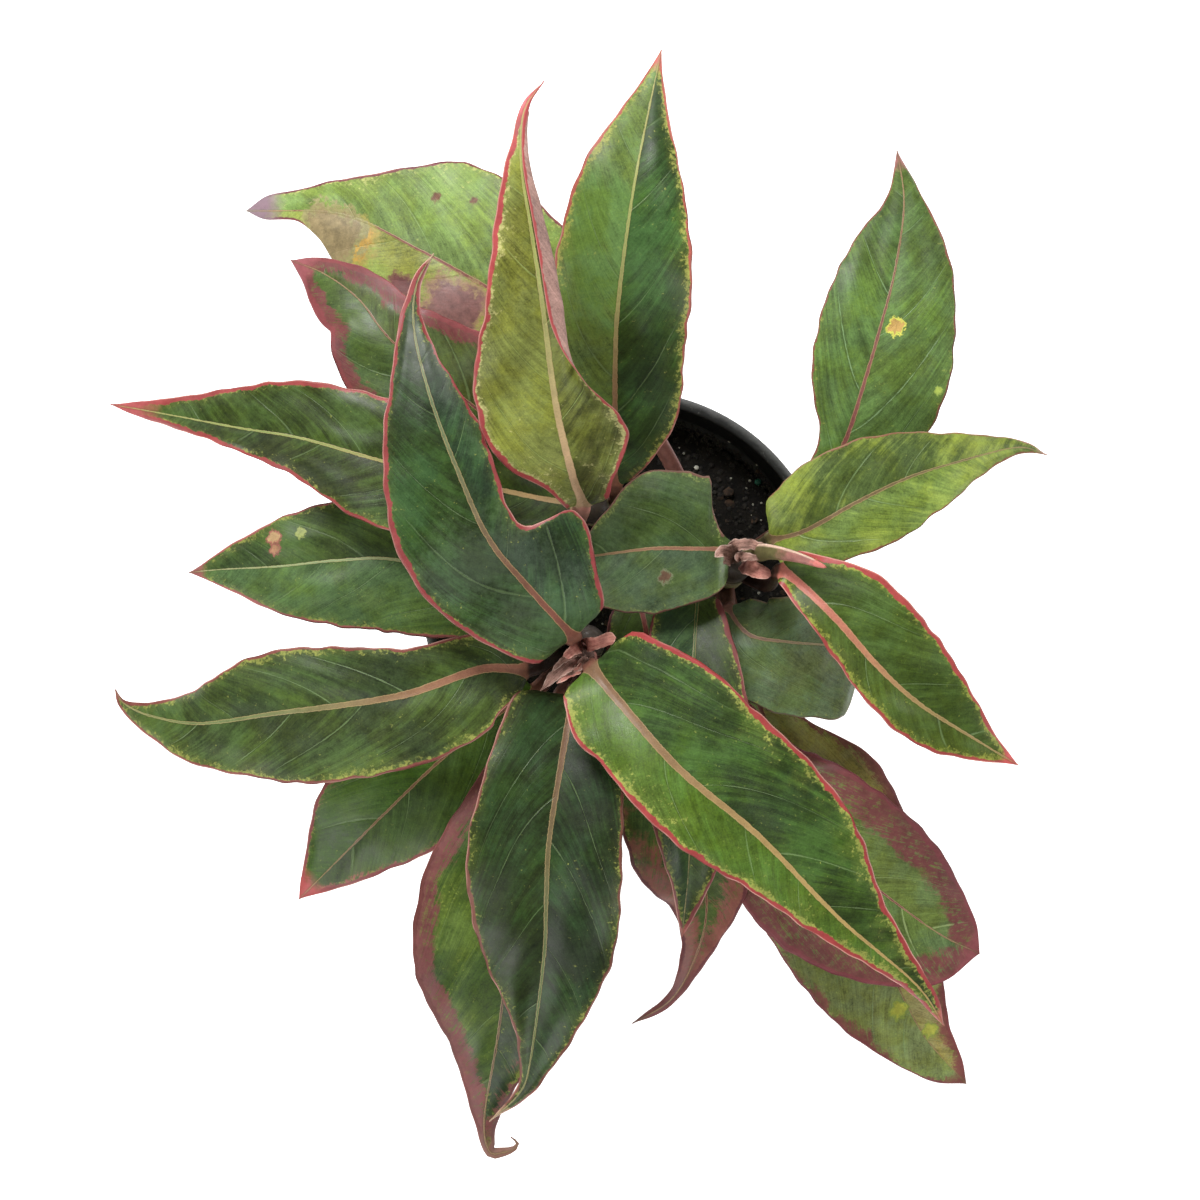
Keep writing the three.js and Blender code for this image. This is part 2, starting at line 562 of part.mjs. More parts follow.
function potSolid() {
  const collar = POT_HEIGHT - POT_COLLAR_HEIGHT;
  const lip = POT_HEIGHT - POT_LIP_DROP;
  const shoulder = collar - POT_SHOULDER_STEP;
  const innerCollar = POT_COLLAR_RADIUS - POT_WALL;
  const innerBase = POT_BASE_RADIUS - POT_WALL;
  let pot = turned([
    [0, 0],
    [POT_BASE_RADIUS - POT_FOOT_ROUND, 0],
    [POT_BASE_RADIUS, POT_FOOT_ROUND],
    [POT_SHOULDER_RADIUS, shoulder],
    [POT_COLLAR_RADIUS - POT_LIP_ROUND, collar],
    [POT_COLLAR_RADIUS, lip - POT_LIP_ROUND],
    [POT_RIM_RADIUS - POT_LIP_ROUND / 2, lip],
    [POT_RIM_RADIUS, lip + POT_LIP_DROP / 2],
    [POT_RIM_RADIUS - POT_LIP_ROUND, POT_HEIGHT - POT_LIP_ROUND / 2],
    [POT_RIM_RADIUS - 2 * POT_LIP_ROUND, POT_HEIGHT],
    [POT_COLLAR_RADIUS, POT_HEIGHT - POT_LIP_ROUND / 2],
    [innerCollar, POT_HEIGHT - 2 * POT_LIP_ROUND],
    [innerCollar - POT_LIP_ROUND, collar],
    [POT_SHOULDER_RADIUS - POT_WALL, shoulder],
    [innerBase, POT_WALL + POT_FOOT_ROUND],
    [innerBase - POT_FOOT_ROUND, POT_WALL],
    [0, POT_WALL],
  ], POT_SEGMENTS);
  for (let k = 0; k < DRAIN_HOLE_COUNT; k += 1) {
    const angle = (k / DRAIN_HOLE_COUNT) * 2 * Math.PI;
    const hole = new THREE.CylinderGeometry(
      DRAIN_HOLE_RADIUS, DRAIN_HOLE_RADIUS, 4 * POT_WALL, DRAIN_HOLE_SEGMENTS);
    hole.rotateX(Math.PI / 2);
    hole.translate(DRAIN_HOLE_CIRCLE * Math.cos(angle), DRAIN_HOLE_CIRCLE * Math.sin(angle), 0);
    pot = pot.subtract(toManifold(hole));
  }
  return pot;
}

// The soil fills the pot to a low mound that drops a little at the wall.
function soilSolid() {
  const floor = POT_WALL + GAP;
  const edge = SOIL_TOP - SOIL_EDGE_DROP;
  const shoulder = POT_HEIGHT - POT_COLLAR_HEIGHT - POT_SHOULDER_STEP;
  const reach = (z) => mix(POT_BASE_RADIUS, POT_SHOULDER_RADIUS, z / shoulder) - POT_WALL - 2 * GAP;
  const outline = [
    [0, floor],
    [reach(floor) - POT_FOOT_ROUND, floor],
    [reach(floor + POT_FOOT_ROUND), floor + POT_FOOT_ROUND],
    [reach(edge), edge],
  ];
  for (let k = 1; k <= SOIL_RINGS; k += 1) {
    const out = 1 - k / SOIL_RINGS;
    outline.push([reach(edge) * out, SOIL_TOP + SOIL_MOUND * (1 - out * out) - SOIL_EDGE_DROP * out ** 6]);
  }
  let soil = turned(outline, SOIL_SEGMENTS);
  for (const cane of Object.values(canes)) {
    soil = soil.subtract(toManifold(caneGeometry(cane, GAP)));
  }
  return soil;
}

// ---- Looks and assembly ------------------------------------------------------------------------

function look(color, roughness) {
  return new THREE.MeshStandardMaterial({ color, roughness, metalness: 0 });
}

const looks = {
  pot: look(0x2c2c2d, 0.45),
  soil: look(0x1f1b18, 1),
  cane: look(0x6f7a45, 0.6),
  bright: look(0x5a7d32, 0.4),
  green: look(0x3f6434, 0.4),
  dark: look(0x2f4a2b, 0.35),
  olive: look(0x7c8a46, 0.4),
  maroon: look(0x694043, 0.45),
  pink: look(0xc79a90, 0.7),
  dry: look(0x8a6a60, 0.85),
};

const plant = new THREE.Group();

function addPiece(name, geometry, material) {
  const mesh = new THREE.Mesh(geometry, material);
  mesh.name = name;
  plant.add(mesh);
}

function addGrown(piece, solid) {
  addPiece(piece.name, toGeometry(seatOnCane(solid, canes[piece.cane])), looks[piece.look]);
}

addPiece("pot", toGeometry(potSolid()), looks.pot);
addPiece("soil", toGeometry(soilSolid()), looks.soil);
for (const cane of Object.values(canes)) {
  addPiece(cane.name, caneGeometry(cane, 0), looks.cane);
}
for (const leaf of leaves) {
  addGrown(leaf, leafSolid(leaf, LEAF_STALK));
}
for (const scale of crownScales) {
  addGrown(scale, leafSolid(scale, SCALE_STALK));
}
addGrown(rolledLeaf, rolledSolid(rolledLeaf));

export default plant;
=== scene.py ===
import math

import bpy
import numpy as np
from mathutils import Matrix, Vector, noise


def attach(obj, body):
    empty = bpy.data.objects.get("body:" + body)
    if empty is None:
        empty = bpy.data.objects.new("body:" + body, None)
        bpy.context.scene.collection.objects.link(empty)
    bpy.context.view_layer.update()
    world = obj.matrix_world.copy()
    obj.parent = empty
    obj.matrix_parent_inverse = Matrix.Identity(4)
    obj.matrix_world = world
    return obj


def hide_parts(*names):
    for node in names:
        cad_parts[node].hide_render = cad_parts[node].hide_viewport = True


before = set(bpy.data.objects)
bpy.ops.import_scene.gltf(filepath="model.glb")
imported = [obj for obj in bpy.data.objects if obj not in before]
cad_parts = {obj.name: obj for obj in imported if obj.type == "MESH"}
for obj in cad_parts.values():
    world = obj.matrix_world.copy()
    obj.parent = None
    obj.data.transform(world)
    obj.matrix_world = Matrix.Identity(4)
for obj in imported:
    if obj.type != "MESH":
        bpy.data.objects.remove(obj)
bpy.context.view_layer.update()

MM = 0.001
FULL_TURN = 2 * math.pi
TURN_RANGE = 6.28

# ---- Sizes -------------------------------------------------------------------------------------
# Lengths are in millimetres. The other values are counts, shares of a length, degrees and, for
# tilts and turns, radians.

POT_HEIGHT = 140
POT_RIM_RADIUS = 77.5
POT_COLLAR_RADIUS = 74
POT_SHOULDER_RADIUS = 70.5
POT_BASE_RADIUS = 55
POT_WALL = 1.6
POT_COLLAR_HEIGHT = 20
POT_LIP_DROP = 4
POT_FOOT_ROUND = 1.5
POT_FOOT_INSET = 0.4
POT_SHOULDER_STEP = 2
POT_COLLAR_DRAFT = 0.6
POT_LIP_INSET = 0.9
POT_LEDGE_RISE = 0.5
POT_AXIS_HOLE = 1.0
POT_SEGMENTS = 160
CORNER_STEPS = 7
DRAIN_HOLE_RADIUS = 5
DRAIN_HOLE_CIRCLE = 40
DRAIN_HOLE_COUNT = 8
DRAIN_HOLE_SEGMENTS = 24

SOIL_TOP = 118
SOIL_MOUND = 3
SOIL_EDGE_DROP = 2
SOIL_RINGS = 90
SOIL_SEGMENTS = 180
SOIL_SIDE_HEIGHTS = (30, 60, 90)
SOIL_FOOT_STEP = 2
SOIL_EDGE_STEP = 6
SOIL_LUMP_HEIGHT = 1.6
SOIL_LUMP_SPREAD = 9
SOIL_LUMP_LAYER = 3.7
SOIL_LUMP_ROUGHNESS = 0.9
SOIL_LUMP_FINENESS = 2.1
SOIL_LUMP_OCTAVES = 5
SOIL_WALL_GAP = 0.6

CANE_FOOT_DEPTH = 28
CANE_RINGS = 110
CANE_SEGMENTS = 40
CANE_TOP_ROUND = 6
CANE_TOP_TAPER = 0.72
CANE_SKIN_DEPTH = 0.35
JOINT_SWELLING = 0.28
CANE_LUMP_HEIGHT = 0.16
CANE_LUMP_COUNT = 3
CANE_LUMP_RISE = 9
SCAR_SPACING = 8.5
SCAR_WIRE_RADIUS = 0.55
SCAR_RING_SEGMENTS = 40
SCAR_WIRE_SEGMENTS = 8
SCAR_TILT = 0.08
FIRST_SCAR_RISE = 3
LAST_SCAR_DROP = 16

LEAF_STALK = {"half_width": 2.9, "half_height": 2.3, "rib": 2.0}
SCALE_STALK = {"half_width": 2.0, "half_height": 1.0, "rib": 0.0}
PETIOLE_FOOT_SWELL = 1.25
PETIOLE_FOOT_PART = 0.4
PETIOLE_CHANNEL_DEPTH = 0.35
PETIOLE_CHANNEL_WIDTH = 0.4
PETIOLE_SINK = 1.5
PETIOLE_LATEST_START = 0.8
PETIOLE_RINGS = 22
LAMINA_THICKNESS = 0.5
MARGIN_THICKNESS = 0.25
THICKNESS_FADE = 5
LEAST_HALF_WIDTH = 0.25
THICKEST_SHARE = 3
UNDERSIDE_FROM = 1
MIDRIB_FADE = 0.75
MIDRIB_ROUNDING = 0.8
MIDRIB_SPREAD = 1.7
SIDE_PHASE = 0.37
SLOPE_STEP = 0.01
CURVE_STEPS = 60
SPINE_SAMPLES = 400
LEAST_STEP = 0.001
STEEPEST_TAPER = 3
FOOT_POINT_STEP = 0.002
BASE_CHANNEL_ANGLE = 22
BASE_CHANNEL_LENGTH = 0.08
BLADE_MORPH_END = 0.045
CURL_START = 0.3
CURL_BEND = 0.24
CURL_FROM = 0.25
CURL_FULL = 0.55
LEAST_CURL = 1e-6
VEIN_SPACING = 33.0
VEIN_GROOVE_DEPTH = 0.16
VEIN_GROOVE_WIDTH = 0.9
VEIN_EDGE_FADE = 6
VEIN_FOOT_FADE = 0.1
VEIN_TIP_FADE = 0.12
VEIN_LEAN = 0.9
VEIN_SWEEP = 0.05
VEIN_UNEVENNESS = 0.12
VEIN_DRIFT = 0.13
FIRST_VEIN = 0.3
VEIN_SIDE_SHIFT = 0.45
QUILT_HEIGHT = 0.3
QUILT_FADE = 6
MARGIN_RIPPLE = 0.2
MARGIN_RIPPLE_RATES = (0.61, 0.37)
TEAR_RATES = (0.9, 2.1, 3.7)
FINE_TEAR = 0.6
TORN_PART = 0.97
UNDULATION = 0.45
UNDULATION_COUNT = 4
UNDULATION_WAVES = (1.5, 4.5)
UNDULATION_TURNS = (-1.4, 1.4)
UNDULATION_FADE = 7
STALK_EDGE = 9

# Where things are stated or cut along a blade, from its foot (0) to its tip (1), and across a half,
# from the midrib (0) to the margin (1).
WIDTH_PLACES = [0, 0.03, 0.1, 0.22, 0.38, 0.55, 0.72, 0.86, 0.95, 1]
BLADE_BASE_RINGS = [0.0, 0.006, 0.013, 0.021, 0.03, 0.04, 0.05]
BLADE_TIP_RINGS = [0.98, 0.988, 0.994, 0.998]
BLADE_RINGS = 92
BLADE_RING_SPAN = (0.06, 0.97)
HALF_PLACES = [0, 0.025, 0.06, 0.11, 0.17, 0.24, 0.31, 0.39, 0.47, 0.55, 0.63, 0.71, 0.79, 0.86,
               0.92, 0.97, 1]

# ---- Canes -------------------------------------------------------------------------------------

CANES = {
    "left": {"foot": (-19, -23), "top": (-14, -16, 196), "radius": (8.5, 6)},
    "right": {"foot": (35, 7), "top": (39, 12, 196), "radius": (9, 6.2)},
    "back": {"foot": (-12, 35), "top": (-13, 31, 190), "radius": (7.5, 5.6)},
}

# ---- Leaves ------------------------------------------------------------------------------------
# cane and joins: the cane that a leaf grows from, and the height on it where the petiole starts.
# petiole: points between the cane and the blade. blade: points along the midrib, foot to tip.
# left and right: half-widths at WIDTH_PLACES after the first, seen from above looking towards the
# tip. left_places and right_places: where they are stated instead.
# fold: degrees that each half rises from the midrib. curl: degrees that each half curls over.
# sag: how far the margins drop. wave: the margin ripple's height, its count and where it starts.
# look: what differs from PLAIN_LEAF. marks: x, y, radius, colour, ring colour, softness.
# Colours are as the eye sees them, 0 to 255.

PLAIN_LEAF = {
    "Left half": (50, 76, 40),
    "Right half": (50, 76, 40),
    "Patch": (78, 104, 52),
    "Patch amount": 0.45,
    # Dust and sheen: how much pale bloom a leaf has, partly dust and partly painted sheen.
    "Dust": 0.0,
    "Speckle": (146, 150, 74),
    "Speckle amount": 0.5,
    "Speckle reach": 8.0,
    "Blush": (106, 60, 62),
    "Blush left": 0.0,
    "Blush right": 0.0,
    "Blush reach": 10.0,
    "Blush start": -0.2,
    "Margin": (164, 80, 76),
    "Margin left": 1.0,
    "Margin right": 1.0,
    # Edge highlight: the colour of the painted highlight along each margin's outer edge.
    "Edge": (206, 152, 140),
    "Rib foot": (150, 102, 84),
    "Rib end": (132, 146, 92),
    "Rib width": 1.1,
    "Veins": (118, 142, 92),
    "Vein strength": 0.6,
    "Vein spacing": VEIN_SPACING,
    "Tip": (176, 104, 96),
    "Tip start": 0.96,
    # Stalk: the petiole's colour, darkened partly as painted shade.
    "Stalk": (126, 84, 70),
    "Underside": (128, 138, 100),
}

LEAVES = [
    {
        "name": "leaf_front_broad", "slot": "leaf_bright", "cane": "left", "joins": 168,
        "petiole": [(-12, -26, 186)],
        "blade": [(-13, -24, 232), (-3, -36, 243), (16, -57, 250), (42, -79, 248), (69, -107, 238),
                  (97, -132, 221), (109, -149, 208)],
        "left": [7.5, 13, 19.5, 22.3, 26.5, 29.8, 31, 30, 25, 13, 5, 2.5],
        "left_places": [0, 0.012, 0.024, 0.044, 0.066, 0.12, 0.17, 0.22, 0.38, 0.55, 0.72, 0.86,
                        0.95, 1],
        "right": [10.5, 15.5, 19, 19, 17.6, 18.4, 19, 13, 7, 4, 2],
        "right_places": [0, 0.02, 0.06, 0.1, 0.13, 0.16, 0.22, 0.38, 0.55, 0.72, 0.86, 0.95, 1],
        "fold": (9, 4), "sag": 2, "wave": (1.2, 2.5, 0.1),
        "look": {
            "Left half": (46, 66, 30), "Right half": (77, 104, 35),
            "Patch": (74, 108, 44), "Speckle": (158, 162, 80), "Speckle amount": 0.85,
            "Speckle reach": 13.0, "Margin": (157, 63, 62), "Margin left": 1.55,
            "Margin right": 1.5, "Edge": (226, 170, 156), "Rib foot": (126, 98, 74),
            "Rib end": (176, 148, 92), "Rib width": 1.5, "Vein strength": 0.6,
            "Tip": (184, 99, 88), "Tip start": 0.95,
        },
    },
    {
        "name": "leaf_left_broad", "slot": "leaf_dark", "cane": "left", "joins": 176,
        "petiole": [(-23, -13, 192)],
        "blade": [(-19, -14, 234), (-34, 3, 248), (-46, 18, 255), (-55, 38, 260), (-64, 62, 261),
                  (-70, 85, 256), (-70, 101, 248), (-65, 113, 240)],
        "left": [13, 20, 26, 28, 21, 9.5, 3, 1.5],
        "right": [13, 20, 26, 28, 26, 15, 11.5, 10.3, 11, 12, 6, 2, 1],
        "right_places": [0, 0.03, 0.1, 0.17, 0.22, 0.258, 0.278, 0.3, 0.34, 0.4, 0.55, 0.72, 0.86,
                         0.95, 1],
        "fold": (4, 6), "sag": 2, "wave": (1, 2, 0.4),
        "look": {
            "Left half": (37, 55, 23), "Right half": (37, 56, 34), "Dust": 0.1,
            "Patch": (58, 92, 50), "Speckle amount": 0.35, "Speckle reach": 7.0,
            "Margin": (141, 63, 63), "Margin left": 1.35, "Margin right": 1.15,
            "Rib foot": (120, 74, 61), "Rib end": (101, 119, 83), "Rib width": 1.15,
            "Vein strength": 0.35, "Tip": (204, 172, 142), "Tip start": 0.965,
        },
    },
    {
        "name": "leaf_left_lance", "slot": "leaf_green", "cane": "left", "joins": 160,
        "petiole": [(-25, -21, 182)],
        "blade": [(-34, -25, 220), (-50, -25, 228), (-74, -33, 232), (-97, -37, 230),
                  (-120, -40, 225), (-147, -44, 214), (-166, -42, 204), (-177, -38, 197),
                  (-181, -33, 194)],
        "left": [8, 18, 23, 25, 24, 16, 8, 3], "right": [8, 12, 14, 19, 21, 14, 6, 1.5],
        "fold": (5, 5), "sag": 2, "wave": (1.2, 3, 0),
        "look": {
            # This petiole's dark Stalk colour is painted shade, a dark gap by the crown.
            "Left half": (54, 68, 36), "Right half": (52, 68, 34), "Stalk": (62, 42, 36),
            "Speckle amount": 0.6, "Speckle reach": 9.0, "Margin": (123, 67, 60),
            "Margin left": 0.8, "Margin right": 0.95, "Rib foot": (147, 99, 79),
            "Rib end": (110, 122, 77), "Rib width": 1.5, "Tip": (135, 76, 68),
        },
    },
    {
        "name": "leaf_front_long", "slot": "leaf_dark", "cane": "left", "joins": 152,
        "petiole": [(-17, -30, 182)],
        "blade": [(-19, -34, 220), (-23, -56, 231), (-27, -82, 235), (-28, -102, 233),
                  (-29, -123, 228), (-34, -160, 211), (-38, -173, 204), (-49, -185, 196)],
        "left": [14, 19, 23, 25, 23, 14, 5, 1.5], "right": [17, 22, 25, 27, 21, 8, 2.5, 1],
        "fold": (6, 6), "sag": 2, "wave": (1.2, 2.5, 0.3),
        "look": {
            "Left half": (31, 45, 21), "Right half": (35, 49, 19),
            "Patch": (48, 78, 42), "Speckle amount": 0.4, "Speckle reach": 7.0,
            "Margin": (111, 67, 55), "Margin left": 0.8, "Margin right": 0.85,
            "Rib foot": (114, 85, 64), "Rib end": (83, 104, 61), "Rib width": 1.1,
            "Vein strength": 0.35, "Tip": (185, 153, 126), "Tip start": 0.94,
        },
    },
    {
        "name": "leaf_left_short", "slot": "leaf_bright", "cane": "left", "joins": 136,
        "petiole": [(-26, -27, 156)],
        "blade": [(-33, -34, 180), (-46, -42, 187), (-65, -57, 191), (-86, -77, 190),
                  (-104, -95, 183), (-119, -110, 174)],
        "left": [8, 14, 20, 24, 22, 15, 8, 3], "right": [8, 14, 20, 26, 25, 20, 11, 4.5],
        "fold": (5, 5), "sag": 2, "wave": (1, 2.5, 0.2),
        "look": {
            "Left half": (60, 83, 32), "Right half": (64, 97, 24),
            "Speckle amount": 0.5, "Margin": (132, 65, 65), "Margin left": 1.25,
            "Margin right": 1.25, "Blush": (160, 84, 84), "Blush left": 0.35,
            "Blush right": 0.35, "Blush reach": 5.0, "Rib foot": (125, 88, 68),
            "Rib end": (126, 94, 72), "Rib width": 0.85, "Tip": (166, 76, 74),
            "Tip start": 0.9,
        },
    },
    {
        "name": "leaf_front_maroon", "slot": "leaf_maroon", "cane": "left", "joins": 146,
        "petiole": [(-20, -31.5, 168)],
        "blade": [(-25, -38, 196), (-33, -71, 209), (-41, -105, 213), (-43, -134, 210),
                  (-46, -156, 204), (-50, -178, 196), (-51, -190, 191), (-49, -197.85, 188),
                  (-45, -198.45, 186), (-41, -197.5, 185), (-39.5, -195.5, 185), (-42, -193, 185)],
        "left": [10, 16, 24, 30, 26, 12, 4.5, 1.5], "right": [10, 15, 23, 31, 30, 14, 3, 1.5],
        "fold": (6, 6), "sag": 2.5, "wave": (1.5, 2.5, 0.6),
        "look": {
            "Left half": (30, 51, 23), "Right half": (59, 82, 29),
            "Patch": (98, 116, 50), "Speckle": (120, 132, 54), "Speckle amount": 0.9,
            "Speckle reach": 22.0, "Blush": (110, 62, 60), "Blush left": 0.4,
            "Blush right": 1.0, "Blush reach": 10.0, "Margin": (99, 53, 49),
            "Margin left": 1.1, "Margin right": 1.4, "Edge": (150, 92, 90),
            "Rib foot": (110, 64, 59), "Rib end": (83, 65, 54), "Rib width": 0.95,
            "Vein strength": 0.3, "Tip": (135, 99, 86), "Tip start": 0.86,
        },
    },
    {
        "name": "leaf_left_spotted", "slot": "leaf_dark", "cane": "left", "joins": 148,
        "petiole": [(-24, -12, 168)],
        "blade": [(-27, -5, 194), (-45, 3, 205), (-79, 12, 210), (-100, 12, 209),
                  (-121, 10, 206), (-142, 9, 200), (-155, 8, 194)],
        "left": [8, 14, 21, 25, 24, 18, 9, 3], "right": [8, 14, 20, 22, 21, 17, 9, 3],
        "fold": (5, 5), "sag": 2, "wave": (1, 2.5, 0.8),
        "look": {
            # The left half's colour is lightened by a painted sheen.
            "Left half": (78, 104, 62), "Right half": (54, 72, 36),
            "Speckle amount": 0.5, "Speckle reach": 6.0, "Margin": (150, 84, 82),
            "Margin left": 0.85, "Margin right": 0.8, "Rib foot": (150, 126, 96),
            "Rib end": (138, 160, 116), "Rib width": 0.85, "Vein strength": 0.3,
            "Tip": (140, 84, 80), "Tip start": 0.94,
        },
        "marks": [(-123, 19.8, 2.6, (170, 140, 100), (150, 90, 80), 0.5),
                  (-122.5, 15.8, 2.0, (160, 120, 90), (140, 84, 76), 0.5),
                  (-113.5, 21.5, 1.8, (150, 160, 90), (140, 150, 80), 0.6)],
    },
    {
        "name": "leaf_back_folded", "slot": "leaf_olive", "cane": "back", "joins": 162,
        "petiole": [(-19, 24, 184)],
        "blade": [(-16, 30, 228), (-19, 39, 242), (-24, 60, 264), (-28, 91, 286), (-31, 111, 293),
                  (-34, 131, 296.9), (-33, 147, 295.9), (-27, 157, 293)],
        "left": [5, 9, 22, 25, 18, 10.5, 3, 1.2], "right": [8, 14, 21, 14, 14, 9.5, 4, 1.5],
        "fold": (8, 10), "sag": 1, "wave": (1, 2, 0.2), "curl": (0, 130),
        "look": {
            "Left half": (127, 135, 67), "Right half": (72, 78, 28),
            "Patch": (140, 152, 78), "Speckle": (198, 192, 128), "Speckle amount": 0.75,
            "Speckle reach": 18.0, "Margin": (172, 74, 74), "Margin left": 1.5,
            "Margin right": 1.0, "Rib foot": (206, 170, 134), "Rib end": (158, 168, 96),
            "Rib width": 1.35, "Veins": (160, 180, 100), "Tip": (209, 108, 112),
            "Tip start": 0.9, "Stalk": (206, 140, 130), "Underside": (172, 136, 126),
        },
    },
    {
        "name": "leaf_back_tall", "slot": "leaf_green", "cane": "back", "joins": 146,
        "petiole": [(-4, 35, 170)],
        "blade": [(-5, 38, 194), (-5, 50, 211), (-5, 64, 226), (-5, 78, 238), (-4, 96, 249),
                  (1, 132, 259), (10, 178, 249)],
        "left": [6, 12, 18, 23, 22, 18, 9, 3], "right": [5, 12, 21, 23, 23, 16, 7, 2],
        "fold": (7, 7), "sag": 2, "wave": (1.2, 2.5, 0.5),
        "look": {
            "Left half": (107, 132, 73), "Right half": (50, 74, 34),
            "Patch": (74, 116, 58), "Speckle": (166, 168, 84), "Speckle amount": 0.75,
            "Speckle reach": 9.0, "Margin": (172, 92, 80), "Margin left": 0.85,
            "Margin right": 0.85, "Rib foot": (168, 112, 92), "Rib end": (156, 166, 98),
            "Rib width": 1.1, "Tip": (196, 110, 100), "Tip start": 0.95,
        },
    },
    {
        "name": "leaf_left_slender", "slot": "leaf_dark", "cane": "back", "joins": 156,
        "petiole": [(-22, 33, 180)],
        "blade": [(-20, 32, 206), (-30, 33, 216), (-50, 37, 224), (-83, 45, 227), (-111, 53, 223),
                  (-133, 57, 217), (-162, 63, 206), (-182, 67, 197)],
        "left": [7, 13, 19, 22, 14, 7, 4, 2], "right": [7, 13, 19, 21, 20, 14, 6, 2],
        "fold": (5, 5), "sag": 2, "wave": (1.2, 3, 0.1),
        "look": {
            "Left half": (52, 62, 37), "Right half": (48, 63, 22),
            "Speckle amount": 0.45, "Speckle reach": 6.0, "Margin": (151, 67, 65),
            "Margin left": 1.25, "Margin right": 1.5, "Rib foot": (180, 150, 106),
            "Rib end": (132, 152, 86), "Rib width": 0.85, "Vein strength": 0.4,
            "Tip": (176, 88, 88), "Tip start": 0.87,
        },
    },
    {
        "name": "leaf_back_maroon", "slot": "leaf_maroon", "cane": "back", "joins": 140,
        "petiole": [(-22, 40, 168)],
        "blade": [(-27, 43, 192), (-52, 64, 203), (-81, 87, 205), (-94, 103, 201),
                  (-107, 113, 195), (-120, 119, 188)],
        "left": [6, 12, 19, 24, 23.5, 19.5, 15, 15, 11, 4.5],
        "left_places": [0, 0.03, 0.1, 0.22, 0.38, 0.55, 0.64, 0.72, 0.79, 0.87, 0.95, 1],
        "right": [6, 12, 19, 22, 17, 12, 7, 3],
        "fold": (5, 5), "sag": 2, "wave": (1, 2, 0.7),
        "look": {
            "Left half": (70, 92, 48), "Right half": (78, 88, 52),
            "Speckle": (146, 160, 94), "Speckle amount": 0.6, "Speckle reach": 14.0,
            "Blush": (114, 60, 60), "Blush left": 0.9, "Blush right": 0.9,
            "Blush reach": 8.0, "Margin": (128, 62, 64), "Margin left": 1.7,
            "Margin right": 1.7, "Edge": (170, 100, 100), "Rib foot": (112, 62, 60),
            "Rib end": (110, 62, 60), "Rib width": 0.7, "Vein strength": 0.4,
            "Tip": (150, 84, 88), "Tip start": 0.9,
        },
    },
    {
        "name": "leaf_front_hooked", "slot": "leaf_maroon", "cane": "back", "joins": 130,
        "petiole": [(-7, 20, 144)],
        "blade": [(3, 2, 162), (8, -20, 171), (12, -45, 176), (18, -72, 177), (26, -97, 172),
                  (29, -114, 165), (26, -132, 156), (17, -151, 146), (2, -162, 139)],
        "left": [9, 15, 20, 24, 22, 8, 2.5, 1.5], "right": [10, 15, 18, 21, 23, 9, 3, 1.5],
        "fold": (6, 6), "sag": 2, "wave": (1, 2, 0.3),
        "look": {
            "Left half": (74, 92, 48), "Right half": (68, 88, 44), "Blush start": 0.42,
            "Speckle": (146, 152, 78), "Speckle amount": 0.7, "Speckle reach": 16.0,
            "Blush": (132, 78, 68), "Blush left": 0.8, "Blush right": 0.75,
            "Blush reach": 15.0, "Margin": (102, 53, 55), "Margin left": 1.25,
            "Margin right": 1.25, "Edge": (150, 90, 88), "Rib foot": (140, 66, 60),
            "Rib end": (112, 66, 58), "Rib width": 0.95, "Vein strength": 0.2,
            "Tip": (115, 65, 65), "Tip start": 0.76,
        },
    },
    {
        "name": "leaf_back_scorched", "slot": "leaf_olive", "cane": "right", "joins": 142,
        "petiole": [(27, 24, 160), (15, 49, 174)],
        "blade": [(-8, 84, 182), (-31, 99, 186), (-52, 110.5, 187), (-75, 123.5, 184),
                  (-103, 137, 178), (-139, 140, 169)],
        "left": [8, 16, 26, 28, 25, 18, 4, 3], "right": [8, 18, 30, 36, 34.5, 16, 8.5, 5.5],
        "fold": (3, 3), "sag": 2, "wave": (1.5, 2.5, 0.2),
        "look": {
            "Left half": (150, 157, 84), "Right half": (114, 138, 76),
            "Patch": (126, 156, 80), "Speckle": (186, 190, 114), "Speckle amount": 0.55,
            "Speckle reach": 20.0, "Margin": (122, 66, 72), "Margin left": 0.7,
            "Margin right": 0.85, "Rib foot": (118, 64, 62), "Rib end": (132, 84, 76),
            "Rib width": 0.95, "Vein strength": 0.5, "Tip": (146, 122, 132),
            "Tip start": 0.9, "Stalk": (206, 136, 128),
        },
        "marks": [(-101.5, 125.5, 11.5, (190, 152, 74), (164, 154, 82), 0.5),
                  (-108, 127.5, 13.5, (146, 130, 94), (152, 146, 98), 0.3),
                  (-63, 100, 13.5, (122, 84, 80), (150, 124, 88), 0.5),
                  (-82, 109.5, 5.5, (108, 62, 60), (128, 100, 72), 0.5),
                  (-68.5, 142, 2.0, (110, 76, 56), (118, 130, 74), 0.7),
                  (-55, 140.5, 1.6, (110, 76, 56), (118, 130, 74), 0.7)],
    },
    {
        "name": "leaf_right_ringspot", "slot": "leaf_green", "cane": "right", "joins": 146,
        "petiole": [(48, 18, 166)],
        "blade": [(58, 27, 186), (74, 50, 197), (82, 74, 202), (88, 95, 203), (93, 114, 201),
                  (97, 138, 194), (96, 159, 184)],
        "left": [5, 6.5, 9, 19, 21, 16, 6, 2], "right": [6, 12, 22, 28, 26, 18, 7, 2.5],
        "fold": (5, 5), "sag": 2, "wave": (1, 2.5, 0.9),
        "look": {
            "Left half": (74, 97, 52), "Right half": (82, 106, 54),
            "Patch": (100, 134, 70), "Speckle amount": 0.2, "Speckle reach": 6.0,
            "Margin": (132, 78, 68), "Margin left": 0.55, "Margin right": 0.55,
            "Edge": (150, 110, 90), "Rib foot": (138, 78, 76),
